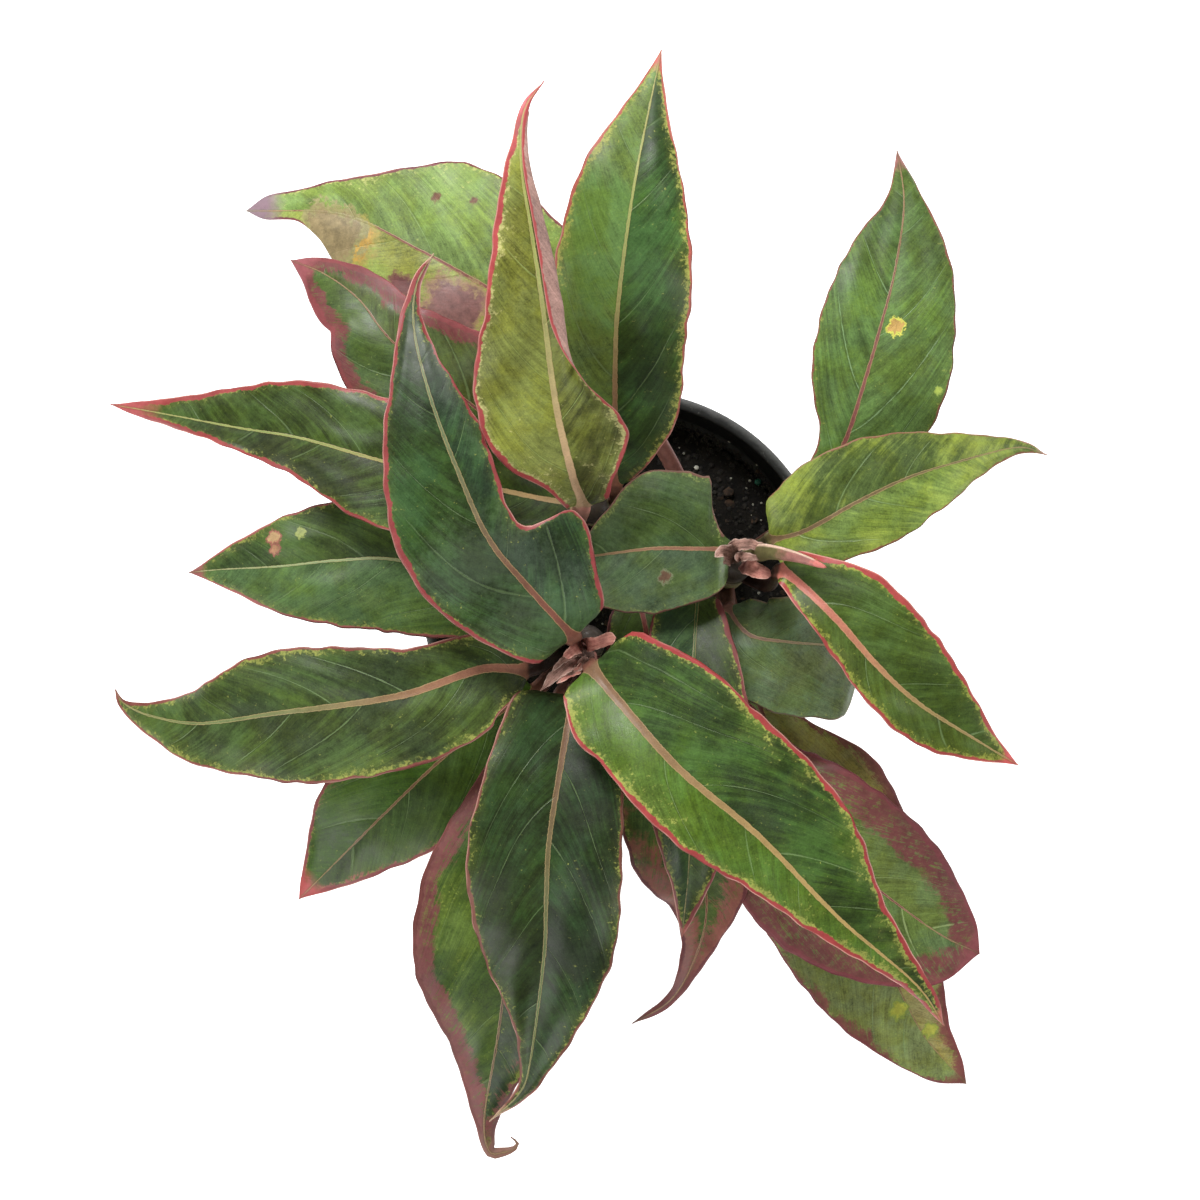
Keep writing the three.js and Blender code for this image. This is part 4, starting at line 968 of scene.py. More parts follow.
class Wiring:
    """Adds nodes to one node tree and joins them up."""

    def __init__(self, tree):
        self.tree = tree

    def node(self, kind, feeds=(), **settings):
        made = self.tree.nodes.new(kind)
        for name, value in settings.items():
            setattr(made, name, value)
        for socket, value in dict(feeds).items():
            self.feed(made.inputs[socket], value)
        return made

    def result(self, kind, feeds=(), **settings):
        return self.node(kind, feeds, **settings).outputs[0]

    def feed(self, socket, value):
        if isinstance(value, bpy.types.NodeSocket):
            self.tree.links.new(value, socket)
        else:
            socket.default_value = value

    def place(self):
        return self.node("ShaderNodeTexCoord").outputs["Object"]

    def value(self, name):
        return self.node("ShaderNodeAttribute", attribute_name=name).outputs["Fac"]

    def math(self, operation, a, b=0.0):
        return self.result("ShaderNodeMath", {0: a, 1: b}, operation=operation)

    def vector(self, x, y, z=0.0):
        return self.result("ShaderNodeCombineXYZ", {0: x, 1: y, 2: z})

    def vector_math(self, operation, a, b):
        return self.result("ShaderNodeVectorMath", {0: a, 1: b}, operation=operation)

    def vector_scale(self, vector, scale):
        return self.result("ShaderNodeVectorMath", {0: vector, "Scale": scale}, operation="SCALE")

    def axes(self, vector):
        return self.node("ShaderNodeSeparateXYZ", {0: vector}).outputs

    def step(self, value, low, high):
        """Runs smoothly from 0 at low to 1 at high."""
        feeds = {"Value": value, "From Min": low, "From Max": high}
        return self.result("ShaderNodeMapRange", feeds, interpolation_type="SMOOTHSTEP")

    def stripe(self, distance, outer, inner):
        """1 on a line, and 0 from the outer distance on both sides of it."""
        return self.step(self.math("ABSOLUTE", distance), outer, inner)

    def scaled(self, value, low, high):
        return self.result("ShaderNodeMapRange", {"Value": value, "To Min": low, "To Max": high})

    def swing(self, noise_value, amount):
        """A noise's swing about zero, from minus to plus the amount."""
        low, high = NOISE_MIDDLE_SPAN
        feeds = {"Value": noise_value, "From Min": low, "From Max": high, "To Min": -amount,
                 "To Max": amount}
        return self.result("ShaderNodeMapRange", feeds)

    def uneven(self, *noises):
        """A brightness that swings about 1 with each noise, by the amount beside it."""
        return self.add(1.0, *[self.swing(value, amount) for value, amount in noises])

    def add(self, *values):
        total = values[0]
        for value in values[1:]:
            total = self.math("ADD", total, value)
        return total

    def times(self, *values):
        total = values[0]
        for value in values[1:]:
            total = self.math("MULTIPLY", total, value)
        return total

    def less(self, a, b):
        return self.math("SUBTRACT", a, b)

    def mix(self, amount, a, b, kind="MIX"):
        made = self.node("ShaderNodeMix", {0: amount, 6: a, 7: b}, data_type="RGBA", blend_type=kind)
        return made.outputs[2]

    def noise(self, scale, detail, roughness, where=None):
        feeds = {"Vector": where or self.place(), "Scale": scale, "Detail": detail,
                 "Roughness": roughness}
        return self.result("ShaderNodeTexNoise", feeds)

    def brighten(self, colour, value):
        return self.result("ShaderNodeHueSaturation", {"Color": colour, "Value": value})


def group_tree(name, inputs, outputs, kind="ShaderNodeTree"):
    """An empty node group: the tree, its wiring, what it reads and where it writes."""
    tree = bpy.data.node_groups.new(name, kind)
    for in_out, sockets in (("INPUT", inputs), ("OUTPUT", outputs)):
        for label, socket in sockets:
            tree.interface.new_socket(label, in_out=in_out, socket_type=SOCKET_KINDS[socket])
    wiring = Wiring(tree)
    read = wiring.node("NodeGroupInput").outputs
    write = wiring.node("NodeGroupOutput").inputs
    return tree, wiring, read, write


def new_material(name, **constants):
    """A Principled material; constants are set on the shader's own sockets."""
    material = bpy.data.materials.new(name)
    material.use_nodes = True
    wiring = Wiring(material.node_tree)
    shader = material.node_tree.nodes["Principled BSDF"]
    for socket, value in constants.items():
        shader.inputs[socket.replace("_", " ")].default_value = value
    return material, wiring, shader.inputs


def skin(w, sockets, colour, roughness, height, strength, depth):
    """Joins colour, roughness and a bump of a depth in metres to the shader."""
    w.feed(sockets["Base Color"], colour)
    w.feed(sockets["Roughness"], roughness)
    bump = w.node("ShaderNodeBump", {"Height": height, "Strength": strength, "Distance": depth})
    w.feed(sockets["Normal"], bump.outputs["Normal"])


def finish_piece(piece, material, slot, *nodes):
    piece.data.materials.clear()
    piece.data.materials.append(material)
    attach(piece, "root")
    if nodes:
        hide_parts(*nodes)


# ---- Leaves: skins and pieces ------------------------------------------------------------------

# scale, detail and roughness of the noises that a leaf's skin reads in several places
BROAD_NOISE = (32, 3, 0.6)
MEDIUM_NOISE = (125, 5, 0.65)
FINE_NOISE = (420, 7, 0.78)
GRAIN_NOISE = (1500, 3, 0.7)
STREAK_NOISE = (1.0, 5, 0.65)
FIBRE_NOISE = (5.0, 4, 0.7)

SUNLIGHT = shade(255, 244, 150)
# The pale bloom's colour: partly dust, partly painted sheen.
DUST_AND_SHEEN = shade(150, 166, 146)
RIB_SIDE = shade(206, 176, 122)


class LeafPattern:
    """The group that works out a variegated leaf's colour, roughness and height."""

    def __init__(self):
        inputs = [(name, "colour" if isinstance(value, tuple) else "number")
                  for name, value in PLAIN_LEAF.items()]
        outputs = [("Color", "colour"), ("Roughness", "number"), ("Height", "number")]
        self.tree, self.w, self.read, write = group_tree("variegated leaf", inputs, outputs)
        self.read_mesh()
        self.make_noises()
        colour = self.lamina_colour()
        for add_part in (self.add_veins, self.add_mottling, self.add_blush, self.add_margin,
                         self.add_tip, self.add_midrib, self.add_petiole_and_back):
            colour = add_part(colour)
        self.w.feed(write["Color"], colour)
        self.w.feed(write["Roughness"], self.roughness())
        self.w.feed(write["Height"], self.height())

    def read_mesh(self):
        """The values on the mesh, and which half a place lies on."""
        w = self.w
        rib_mm, self.edge, self.along, self.vein, self.stalk, self.under = [
            w.value(name) for name in ("rib_mm", "edge_mm", "along", "vein", "stalk", "under")]
        self.side = w.step(rib_mm, -0.5, 0.5)
        self.from_rib = w.math("ABSOLUTE", rib_mm)

    def make_noises(self):
        """Noises from broad clouds to fine grain, and two that run with the side veins."""
        w = self.w
        self.broad = w.noise(*BROAD_NOISE)
        self.medium = w.noise(*MEDIUM_NOISE)
        self.fine = w.noise(*FINE_NOISE)
        self.grain = w.noise(*GRAIN_NOISE)
        with_veins = w.vector(w.times(self.vein, 8.0), w.times(self.from_rib, 0.06),
                              w.times(self.along, 2.0))
        self.streak = w.noise(*STREAK_NOISE, with_veins)
        self.fibre = w.noise(*FIBRE_NOISE, with_veins)

    def by_side(self, left, right):
        halves = {0: self.side, 2: self.read[left], 3: self.read[right]}
        return self.w.result("ShaderNodeMix", halves, data_type="FLOAT")

    def lamina_colour(self):
        """Two halves with paler and warmer patches, grain and a pale bloom, partly dust and partly
        painted sheen.
        """
        w = self.w
        read = self.read
        self.tone = w.uneven((self.broad, 0.24), (self.medium, 0.1), (self.fine, 0.24),
                             (self.grain, 0.22), (self.streak, 0.26), (self.fibre, 0.2))
        lamina = w.mix(self.side, read["Left half"], read["Right half"])
        patch = w.step(w.add(self.broad, w.swing(self.streak, 0.12), w.swing(self.fine, 0.04)),
                       0.4, 0.64)
        lamina = w.mix(w.times(patch, read["Patch amount"]), lamina, read["Patch"])
        lamina = w.brighten(lamina, self.tone)
        warmth = w.step(w.add(w.noise(72, 4, 0.6), w.swing(self.grain, 0.04)), 0.4, 0.62)
        self.lamina = w.mix(w.times(warmth, 0.55), lamina, w.mix(1.0, lamina, SUNLIGHT, "MULTIPLY"))
        # A pale bluish bloom in patches: partly dust, partly painted sheen.
        dust_and_sheen_spots = w.step(w.add(w.noise(19, 2, 0.5), w.swing(self.fine, 0.08)), 0.4, 0.66)
        self.dust_and_sheen = w.times(dust_and_sheen_spots, read["Dust"])
        return w.mix(self.dust_and_sheen, self.lamina, DUST_AND_SHEEN)

    def add_veins(self, colour):
        """Side veins of uneven strength, each beside a painted shadow line, and finer ones between."""
        w = self.w
        read = self.read
        hops = w.math("PINGPONG", self.vein, 0.5)
        vein_mm = w.add(w.times(hops, read["Vein spacing"]), w.swing(self.medium, 0.3))
        number = w.add(w.math("ROUND", self.vein), w.times(self.side, 31.7),
                       w.times(read["Rib width"], 13.0))
        chance = w.result("ShaderNodeTexWhiteNoise", {"W": number}, noise_dimensions="1D")
        near_vein = w.times(w.step(self.edge, 1.0, 7.0), w.scaled(chance, 0.55, 1.1),
                            w.step(self.from_rib, 36.0, 10.0))
        self.line = w.times(w.stripe(vein_mm, 0.44, 0.1), near_vein, w.step(self.fine, 0.28, 0.44))
        shadow = w.times(w.stripe(w.less(vein_mm, 0.7), 0.8, 0.0), near_vein, 0.3)
        between = w.step(w.math("PINGPONG", w.times(self.vein, 7.0), 0.5), 0.1, 0.0)
        self.finer = w.times(between, 0.1, w.step(self.broad, 0.4, 0.6))
        colour = w.mix(shadow, colour, w.brighten(self.lamina, 0.5))
        return w.mix(w.times(w.add(self.line, self.finer), read["Vein strength"]), colour,
                     read["Veins"])

    def add_mottling(self, colour):
        """Yellow-green flecks, nearly solid along the margins and in drifts further in."""
        w = self.w
        read = self.read
        self.mottle = w.noise(620, 3, 0.62)
        share = w.result("ShaderNodeMath", {0: self.edge, 1: read["Speckle reach"]},
                         operation="DIVIDE", use_clamp=True)
        border = w.step(w.add(self.edge, w.swing(self.medium, 1.6)), 4.2, 1.0)
        drift = w.step(w.add(w.noise(55, 3, 0.6), w.swing(self.medium, 0.05)), 0.46, 0.6)
        crowd = w.times(w.less(1.0, share), drift, 0.13)
        level = w.times(w.add(crowd, w.times(border, 0.2)), read["Speckle amount"])
        spots = w.add(w.times(self.mottle, 0.6), w.times(self.grain, 0.2),
                      w.times(self.medium, 0.2), level)
        self.speckle = w.times(w.step(spots, 0.6, 0.72), 0.7)
        speck_tone = w.uneven((self.grain, 0.3), (self.medium, 0.25))
        self.speck_colour = w.brighten(read["Speckle"], speck_tone)
        wash = w.times(w.add(w.times(border, 0.24), w.times(crowd, 1.8)), read["Speckle amount"])
        colour = w.mix(wash, colour, w.brighten(read["Speckle"], w.times(self.tone, 0.62)))
        return w.mix(self.speckle, colour, self.speck_colour)

    def add_blush(self, colour):
        """A maroon blush with a ragged border and green flecks."""
        w = self.w
        read = self.read
        amount = self.by_side("Blush left", "Blush right")
        near = w.less(1.0, w.math("DIVIDE", self.edge, read["Blush reach"]))
        near = w.math("MAXIMUM", near, -0.3)
        ragged = w.add(w.times(w.noise(52, 6, 0.75), 0.5), w.times(self.fine, 0.15),
                       w.times(self.fibre, 0.15), w.times(self.streak, 0.2))
        level = w.add(ragged, w.times(near, amount, 0.3))
        fleck = w.step(w.add(w.times(self.fine, 0.5), w.times(self.fibre, 0.5)), 0.51, 0.57)
        fleck = w.times(fleck, w.step(self.edge, 0.8, 5.0), 0.8)
        begun = w.step(w.add(w.less(self.along, read["Blush start"]), w.swing(self.medium, 0.1)),
                       0.0, 0.12)
        self.blush = w.times(w.step(level, 0.57, 0.62), w.step(amount, 0.0, 0.2),
                             w.less(1.0, fleck), begun)
        blush_tone = w.uneven((self.medium, 0.2), (self.fine, 0.16), (self.streak, 0.12))
        return w.mix(self.blush, colour, w.brighten(read["Blush"], blush_tone))

    def add_margin(self, colour):
        """A margin line of uneven width, a broken yellow line inside it and a painted highlight along
        the outer edge.
        """
        w = self.w
        read = self.read
        width = w.times(self.by_side("Margin left", "Margin right"),
                        w.uneven((w.noise(52, 4, 0.7), 0.75)))
        self.inside = w.add(w.less(self.edge, width), w.swing(self.fine, 0.4))
        halo = w.times(w.step(self.inside, 0.8, 0.2), w.step(self.mottle, 0.44, 0.6),
                       read["Speckle amount"], w.less(1.0, self.blush), 0.7)
        colour = w.mix(halo, colour, self.speck_colour)
        self.margin_tone = w.uneven((self.medium, 0.16), (self.fine, 0.14))
        colour = w.mix(w.step(self.inside, 0.22, -0.14), colour,
                       w.brighten(read["Margin"], self.margin_tone))
        # A broken pale line along the outer edge: a painted highlight where the margin catches light.
        painted_edge_highlight = w.times(w.step(self.edge, 0.5, 0.12), w.step(w.noise(36, 3, 0.6), 0.4, 0.55), 0.85)
        return w.mix(painted_edge_highlight, colour, read["Edge"])

    def add_tip(self, colour):
        w = self.w
        place = w.add(self.along, w.swing(self.medium, 0.012))
        tip = w.result("ShaderNodeMapRange", {"Value": place, "From Min": self.read["Tip start"],
                                              "From Max": 1.0})
        return w.mix(w.math("MINIMUM", w.times(tip, 2.2), 1.0), colour,
                     w.brighten(self.read["Tip"], self.margin_tone))

    def add_midrib(self, colour):
        """The midrib: broad at the base, thin at the tip, with a darker line each side."""
        w = self.w
        read = self.read
        narrowing = w.add(w.times(w.math("POWER", w.less(1.0, self.along), 1.1), 0.95), 0.1,
                          w.times(w.step(self.along, 0.07, 0.0), 0.4))
        rib_gap = w.add(w.less(self.from_rib, w.times(read["Rib width"], narrowing)),
                        w.swing(self.fine, 0.22))
        beside = w.times(w.stripe(w.less(rib_gap, 0.15), 0.4, 0.0), 0.35)
        colour = w.mix(beside, colour, w.brighten(self.lamina, 0.55))
        self.midrib = w.times(w.step(rib_gap, 0.16, -0.2), w.step(self.along, 1.0, 0.93))
        rib_colour = w.mix(w.step(self.along, 0.05, 0.7), read["Rib foot"], read["Rib end"])
        rib_tone = w.uneven((self.fine, 0.13), (self.medium, 0.12), (self.grain, 0.1))
        colour = w.mix(self.midrib, colour, w.brighten(rib_colour, rib_tone))
        pale_side = w.times(w.stripe(w.add(rib_gap, 0.02), 0.26, 0.04), self.midrib, 0.5)
        return w.mix(pale_side, colour, RIB_SIDE)

    def add_petiole_and_back(self, colour):
        """The petiole, darkened by painted shade towards its cane, and the paler underside with its
        own veins.
        """
        w = self.w
        read = self.read
        # Painted shade: the petiole darkens towards the cane.
        painted_shade_petiole = w.mix(w.step(self.stalk, 0.97, 1.16), read["Stalk"], w.brighten(read["Stalk"], 0.42))
        petiole = w.brighten(painted_shade_petiole, w.uneven((w.noise(420, 3, 0.6), 0.2)))
        is_stalk = w.step(w.add(self.stalk, w.swing(self.medium, 0.1)), 0.55, 0.95)
        front = w.mix(is_stalk, colour, petiole)
        back = w.brighten(read["Underside"], self.tone)
        back = w.mix(w.times(self.line, 0.6), back, w.brighten(read["Underside"], 0.7))
        back = w.mix(self.midrib, back, read["Rib foot"])
        back = w.mix(w.step(self.inside, 0.3, -0.2), back, read["Margin"])
        back = w.mix(is_stalk, back, petiole)
        return w.mix(self.under, front, back)

    def roughness(self):
        w = self.w
        return w.add(0.42, w.swing(self.medium, 0.1), w.swing(self.fine, 0.06),
                     w.times(self.dust_and_sheen, 0.3), w.times(self.speckle, 0.05),
                     w.times(self.under, 0.15), w.times(self.blush, 0.05))

    def height(self):
        w = self.w
        return w.add(w.times(self.fine, 0.45), w.times(self.grain, 0.08),
                     w.times(self.streak, 0.35), w.times(self.line, -0.7),
                     w.times(self.midrib, 0.4), w.times(self.finer, -1.0))


def leaf_mark_group():
    """A mark on a leaf, seen in plan: a ragged blot with a ring round it."""
    tree, w, read, write = group_tree(
        "leaf mark",
        [("Color", "colour"), ("Centre", "vector"), ("Radius", "number"), ("Softness", "number"),
         ("Mark", "colour"), ("Ring", "colour")],
        [("Color", "colour")])
    offset = w.vector_math("SUBTRACT", w.place(), read["Centre"])
    flat = w.vector_math("MULTIPLY", offset, (1 / MM, 1 / MM, 0.0))
    away = w.node("ShaderNodeVectorMath", {0: flat}, operation="LENGTH").outputs["Value"]
    size = w.vector_scale(flat, w.math("DIVIDE", 1.0, read["Radius"]))
    ragged = w.add(w.swing(w.noise(0.9, 5, 0.65, size), 0.5), w.swing(w.noise(700, 3, 0.7), 0.12))
    share = w.add(w.math("DIVIDE", away, read["Radius"]), ragged)
    disc = w.step(w.math("DIVIDE", w.less(0.8, share), read["Softness"]), -0.3, 0.3)
    ring = w.step(w.math("DIVIDE", w.less(1.05, share), read["Softness"]), -0.3, 0.3)
    ring_colour = w.brighten(read["Ring"], w.uneven((w.noise(600, 4, 0.7), 0.25)))
    ringed = w.mix(ring, read["Color"], ring_colour)
    mark_colour = w.brighten(read["Mark"], w.uneven((w.noise(260, 5, 0.75), 0.4)))
    w.feed(write["Color"], w.mix(disc, ringed, mark_colour))
    return tree


def leaf_material(leaf, pattern_tree, mark_tree):
    material, w, sockets = new_material(leaf["name"] + " skin", Specular_IOR_Level=0.27,
                                       Coat_Weight=0.05, Coat_Roughness=0.3)
    pattern = w.node("ShaderNodeGroup", node_tree=pattern_tree)
    for name, value in {**PLAIN_LEAF, **leaf["look"]}.items():
        w.feed(pattern.inputs[name], shade(*value) if isinstance(value, tuple) else value)
    colour = pattern.outputs["Color"]
    for x, y, radius, mark, ring, softness in leaf.get("marks", []):
        feeds = {"Color": colour, "Centre": (x * MM, y * MM, 0), "Radius": radius,
                 "Softness": softness, "Mark": shade(*mark), "Ring": shade(*ring)}
        colour = w.node("ShaderNodeGroup", feeds, node_tree=mark_tree).outputs["Color"]
    skin(w, sockets, colour, pattern.outputs["Roughness"], pattern.outputs["Height"], 0.35, 0.0005)
    return material


leaf_pattern = LeafPattern().tree
leaf_mark = leaf_mark_group()
for leaf in LEAVES:
    finish_piece(leaf_piece(leaf, LEAF_STALK), leaf_material(leaf, leaf_pattern, leaf_mark),
                 leaf["slot"], leaf["name"])

# ---- Crown scales ------------------------------------------------------------------------------


def papery_material(name, pale, dark, edge_colour, bump):
    """Thin tissue: streaks along it, dark slits, pale torn edges and painted shade towards its foot.
    """
    material, w, sockets = new_material(name, Specular_IOR_Level=0.3)
    rib_mm, edge, along = [w.value(name) for name in ("rib_mm", "edge_mm", "along")]
    fibre = w.noise(1.0, 5, 0.7, w.vector(w.times(rib_mm, 1.4), w.times(along, 2.5)))
    cloud = w.noise(330, 4, 0.7)
    colour = w.mix(w.step(w.add(fibre, w.swing(cloud, 0.1)), 0.36, 0.6), dark, pale)
    colour = w.mix(w.step(fibre, 0.4, 0.34), colour, w.brighten(dark, 0.3))
    colour = w.brighten(colour, w.uneven((cloud, 0.18)))
    torn = w.times(w.step(edge, 0.45, 0.1), w.step(cloud, 0.4, 0.55), 0.75)
    colour = w.mix(torn, colour, edge_colour)
    # Painted shade: darker towards the foot, deep in the crown.
    painted_crown_shade = w.step(w.add(along, w.swing(cloud, 0.06)), 0.42, 0.12)
    colour = w.mix(w.times(painted_crown_shade, 0.7), colour, w.brighten(dark, 0.4))
    skin(w, sockets, colour, w.scaled(fibre, 0.45, 0.8), fibre, bump, 0.0006)
    return material


SCALE_SKINS = {
    "scale_pink": papery_material("pink sheath", shade(196, 136, 122), shade(170, 106, 96),
                                  shade(232, 190, 172), 0.3),
    "scale_dry": papery_material("dry sheath", shade(174, 134, 122), shade(120, 90, 78),
                                 shade(206, 178, 164), 0.7),
}
for scale in CROWN_SCALES:
    stands_for = [] if scale.get("free") else [scale["name"]]
    finish_piece(leaf_piece(scale, SCALE_STALK), SCALE_SKINS[scale["slot"]], scale["slot"],
                 *stands_for)

# ---- Rolled leaf -------------------------------------------------------------------------------

ROLLED_LEAF = {
    "joins": 186, "cane": "right",
    "points": [(43.8, 14.6, 202), (45, 14.5, 216), (48, 14.5, 228), (56, 12.5, 236), (65, 9, 240)],
    "radius": [2.6, 2.6, 2.9, 3.2, 3.4, 3.2, 2.7, 1.9, 1.2, 0.4],
    "rings": 60, "segments": 28, "overlap": 0.6, "full_overlap_radius": 3, "seam": 3.0, "twist": 0.5,
    "flattening": 0.35,
}


def rolled_leaf_piece(rolled):
    """A leaf still rolled into a spindle, with the overlapping margin as a low step round it."""
    spine = Spine([cane_axis_at(CANES[rolled["cane"]], rolled["joins"]), *rolled["points"]])
    rings = rolled["rings"]
    segments = rolled["segments"]
    along = np.arange(rings) / rings
    tangent = spine.slope_at(along)
    side = unit(np.cross(spine.slope_at(0.5), [0.0, 0.0, 1.0]))
    across = unit(side - tangent * (tangent @ side)[:, None])
    above = np.cross(across, tangent)
    radius = smooth_at(WIDTH_PLACES, rolled["radius"], along)[:, None]
    turn = (np.arange(segments) / (segments - 1))[None, :]
    angle = rolled["seam"] - rolled["twist"] * along[:, None] - FULL_TURN * turn
    lap = rolled["overlap"] * np.clip(radius / rolled["full_overlap_radius"], 0, 1)
    reach = radius - lap * turn
    flat = 1 - rolled["flattening"] * along[:, None]
    points = section_points(spine.at(along), across, above, reach * np.cos(angle),
                            flat * reach * np.sin(angle))
    piece = tube_piece("leaf_right_rolled_grown", spine.at(0), points, spine.at(1))
    add_values(piece, "along", np.concatenate([[0], np.repeat(along, segments), [1]]))
    add_values(piece, "wrap", np.concatenate([[0], np.repeat(turn, rings, 0).ravel(), [0]]))
    return piece


def rolled_leaf_material():
    """Olive at the base, mauve further on, a pink tip, and a pale free margin."""
    material, w, sockets = new_material("rolled leaf skin", Specular_IOR_Level=0.35)
    along, wrap = [w.value(name) for name in ("along", "wrap")]
    fine = w.noise(600, 4, 0.6)
    medium = w.noise(260, 4, 0.7)
    place = w.add(along, w.swing(medium, 0.03))
    colour = w.mix(w.step(place, 0.7, 0.8), shade(100, 94, 58), shade(150, 100, 92))
    back = w.step(w.add(wrap, w.swing(fine, 0.05)), 0.3, 0.5)
    colour = w.mix(back, colour, shade(92, 92, 52))
    free_margin = w.step(w.add(wrap, w.swing(medium, 0.01)), 0.085, 0.04)
    colour = w.mix(free_margin, colour, shade(216, 182, 160))
    colour = w.mix(w.step(place, 0.9, 0.95), colour, shade(196, 112, 104))
    colour = w.brighten(colour, w.uneven((fine, 0.2), (medium, 0.15)))
    skin(w, sockets, colour, w.scaled(fine, 0.4, 0.6), fine, 0.3, 0.0004)
    return material


finish_piece(rolled_leaf_piece(ROLLED_LEAF), rolled_leaf_material(), "scale_pink",
             "leaf_right_rolled")

# ---- Canes -------------------------------------------------------------------------------------


def cane_piece(name, cane):
    """A cane with slightly swollen joints and a rounded growing point."""
    foot = cane_axis_at(cane, SOIL_TOP - CANE_FOOT_DEPTH)
    top = np.array(cane["top"], float)
    along = np.linspace(0, 1, CANE_RINGS)
    centre = foot + (top - foot) * along[:, None]
    height = top[2] - foot[2]
    round_top = np.clip((along * height - (height - CANE_TOP_ROUND)) / CANE_TOP_ROUND, 0, 1)
    radius = mix(*cane["radius"], along) * np.sqrt(1 - CANE_TOP_TAPER * round_top**2)
    swelling = JOINT_SWELLING * np.cos(FULL_TURN * centre[:, 2] / SCAR_SPACING)
    angle = angles(CANE_SEGMENTS)
    lumps = CANE_LUMP_HEIGHT * np.sin(CANE_LUMP_COUNT * angle[None, :]
                                      + centre[:, 2:3] / CANE_LUMP_RISE)
    reach = (radius - CANE_SKIN_DEPTH + swelling)[:, None] + lumps
    rings = centre[:, None, :] + np.stack([reach * np.cos(angle), reach * np.sin(angle),
                                           np.zeros_like(reach)], -1)
    return tube_piece(name + "_grown", foot, rings, top)


def scar_ring_tree():
    """Geometry nodes: one thin ring at each point of a mesh of points, as wide as its reach says."""
    tree, w, read, write = group_tree(
        "leaf scar rings",
        [("Geometry", "shape"), ("Wire radius", "number"), ("Tilt", "number"), ("Seed", "count"),
         ("Skin", "skin")],
        [("Geometry", "shape")], "GeometryNodeTree")
    circle = w.result("GeometryNodeCurvePrimitiveCircle",
                      {"Resolution": SCAR_RING_SEGMENTS, "Radius": 1.0})
    reach = w.result("GeometryNodeInputNamedAttribute", {"Name": "reach"}, data_type="FLOAT")
    tilt = w.node("FunctionNodeRandomValue", {"Seed": read["Seed"]}, data_type="FLOAT_VECTOR")
    down = w.math("MULTIPLY", read["Tilt"], -1.0)
    w.feed(tilt.inputs[0], w.vector(down, down, 0.0))
    w.feed(tilt.inputs[1], w.vector(read["Tilt"], read["Tilt"], TURN_RANGE))
    rings = w.result("GeometryNodeInstanceOnPoints", {
        "Points": read["Geometry"], "Instance": circle, "Rotation": tilt.outputs[0], "Scale": reach})
    loose = w.result("GeometryNodeRealizeInstances", {0: rings})
    section = w.result("GeometryNodeCurvePrimitiveCircle",
                       {"Resolution": SCAR_WIRE_SEGMENTS, "Radius": read["Wire radius"]})
    tube = w.result("GeometryNodeCurveToMesh", {"Curve": loose, "Profile Curve": section})
    smooth = w.result("GeometryNodeSetShadeSmooth", {0: tube})
    dressed = w.result("GeometryNodeSetMaterial", {"Geometry": smooth, "Material": read["Skin"]})
    w.feed(write[0], dressed)
    return tree


def grown_piece(name, tree, points, reaches, inputs):
    """Runs a geometry nodes tree on a mesh of points and keeps the result as a plain mesh."""
    seedbed = new_piece(name + "_points", points, [])
    add_values(seedbed, "reach", reaches)
    growing = seedbed.modifiers.new("grow", "NODES")
    growing.node_group = tree
    for item in tree.interface.items_tree:
        if item.in_out == "INPUT" and item.name in inputs:
            growing[item.identifier] = inputs[item.name]
    mesh = settled_mesh(seedbed)
    mesh.name = name
    bpy.data.objects.remove(seedbed)
    return linked_object(name, mesh)


def cane_material():
    """Green-brown bark skin with pale scars, darkened by painted shade towards the crown."""
    material, w, sockets = new_material("cane bark", Coat_Weight=0.05)
    height = w.axes(w.place())[2]
    medium = w.noise(150, 4, 0.65)
    fine = w.noise(700, 4, 0.7)
    colour = w.mix(w.step(height, 0.12, 0.19), shade(104, 88, 62), shade(118, 124, 74))
    colour = w.mix(w.step(medium, 0.5, 0.68), colour, shade(146, 122, 88))
    bands = w.math("PINGPONG", height, SCAR_SPACING * MM / 2)
    colour = w.mix(w.step(bands, 0.0012, 0.0002), colour, shade(156, 132, 98))
    # Painted shade: the cane darkens near its top, deep in the crown.
    colour = w.mix(w.step(height, 0.15, 0.186), colour, shade(56, 45, 36))
    colour = w.brighten(colour, w.scaled(fine, 0.65, 1.35))
    skin(w, sockets, colour, w.scaled(fine, 0.5, 0.75), fine, 0.5, 0.0006)
    return material


bark = cane_material()
scar_rings = scar_ring_tree()
for key, cane in CANES.items():
    finish_piece(cane_piece("stem_" + key, cane), bark, "cane", "stem_" + key)
    cane_top = cane["top"][2]
    heights = np.arange(SOIL_TOP + FIRST_SCAR_RISE, cane_top - LAST_SCAR_DROP, SCAR_SPACING)
    centres = np.array([cane_axis_at(cane, z) for z in heights])
    share = (heights - (SOIL_TOP - CANE_FOOT_DEPTH)) / (cane_top - SOIL_TOP + CANE_FOOT_DEPTH)
    reaches = (mix(*cane["radius"], share) - CANE_SKIN_DEPTH) * MM
    scars = grown_piece("leaf_scars_" + key, scar_rings, centres, reaches,
                        {"Wire radius": SCAR_WIRE_RADIUS * MM, "Tilt": SCAR_TILT, "Seed": 3,
                         "Skin": bark})
    finish_piece(scars, bark, "cane")

# ---- Pot ---------------------------------------------------------------------------------------


def turned_faces(rings, around):
    """Faces of a ring of quads turned about the pot's axis, from a closed outline."""
    faces = []
    for ring in range(rings):
        far = (ring + 1) % rings
        for i in range(around):
            j = (i + 1) % around
            faces.append((ring * around + i, ring * around + j, far * around + j, far * around + i))
    return faces


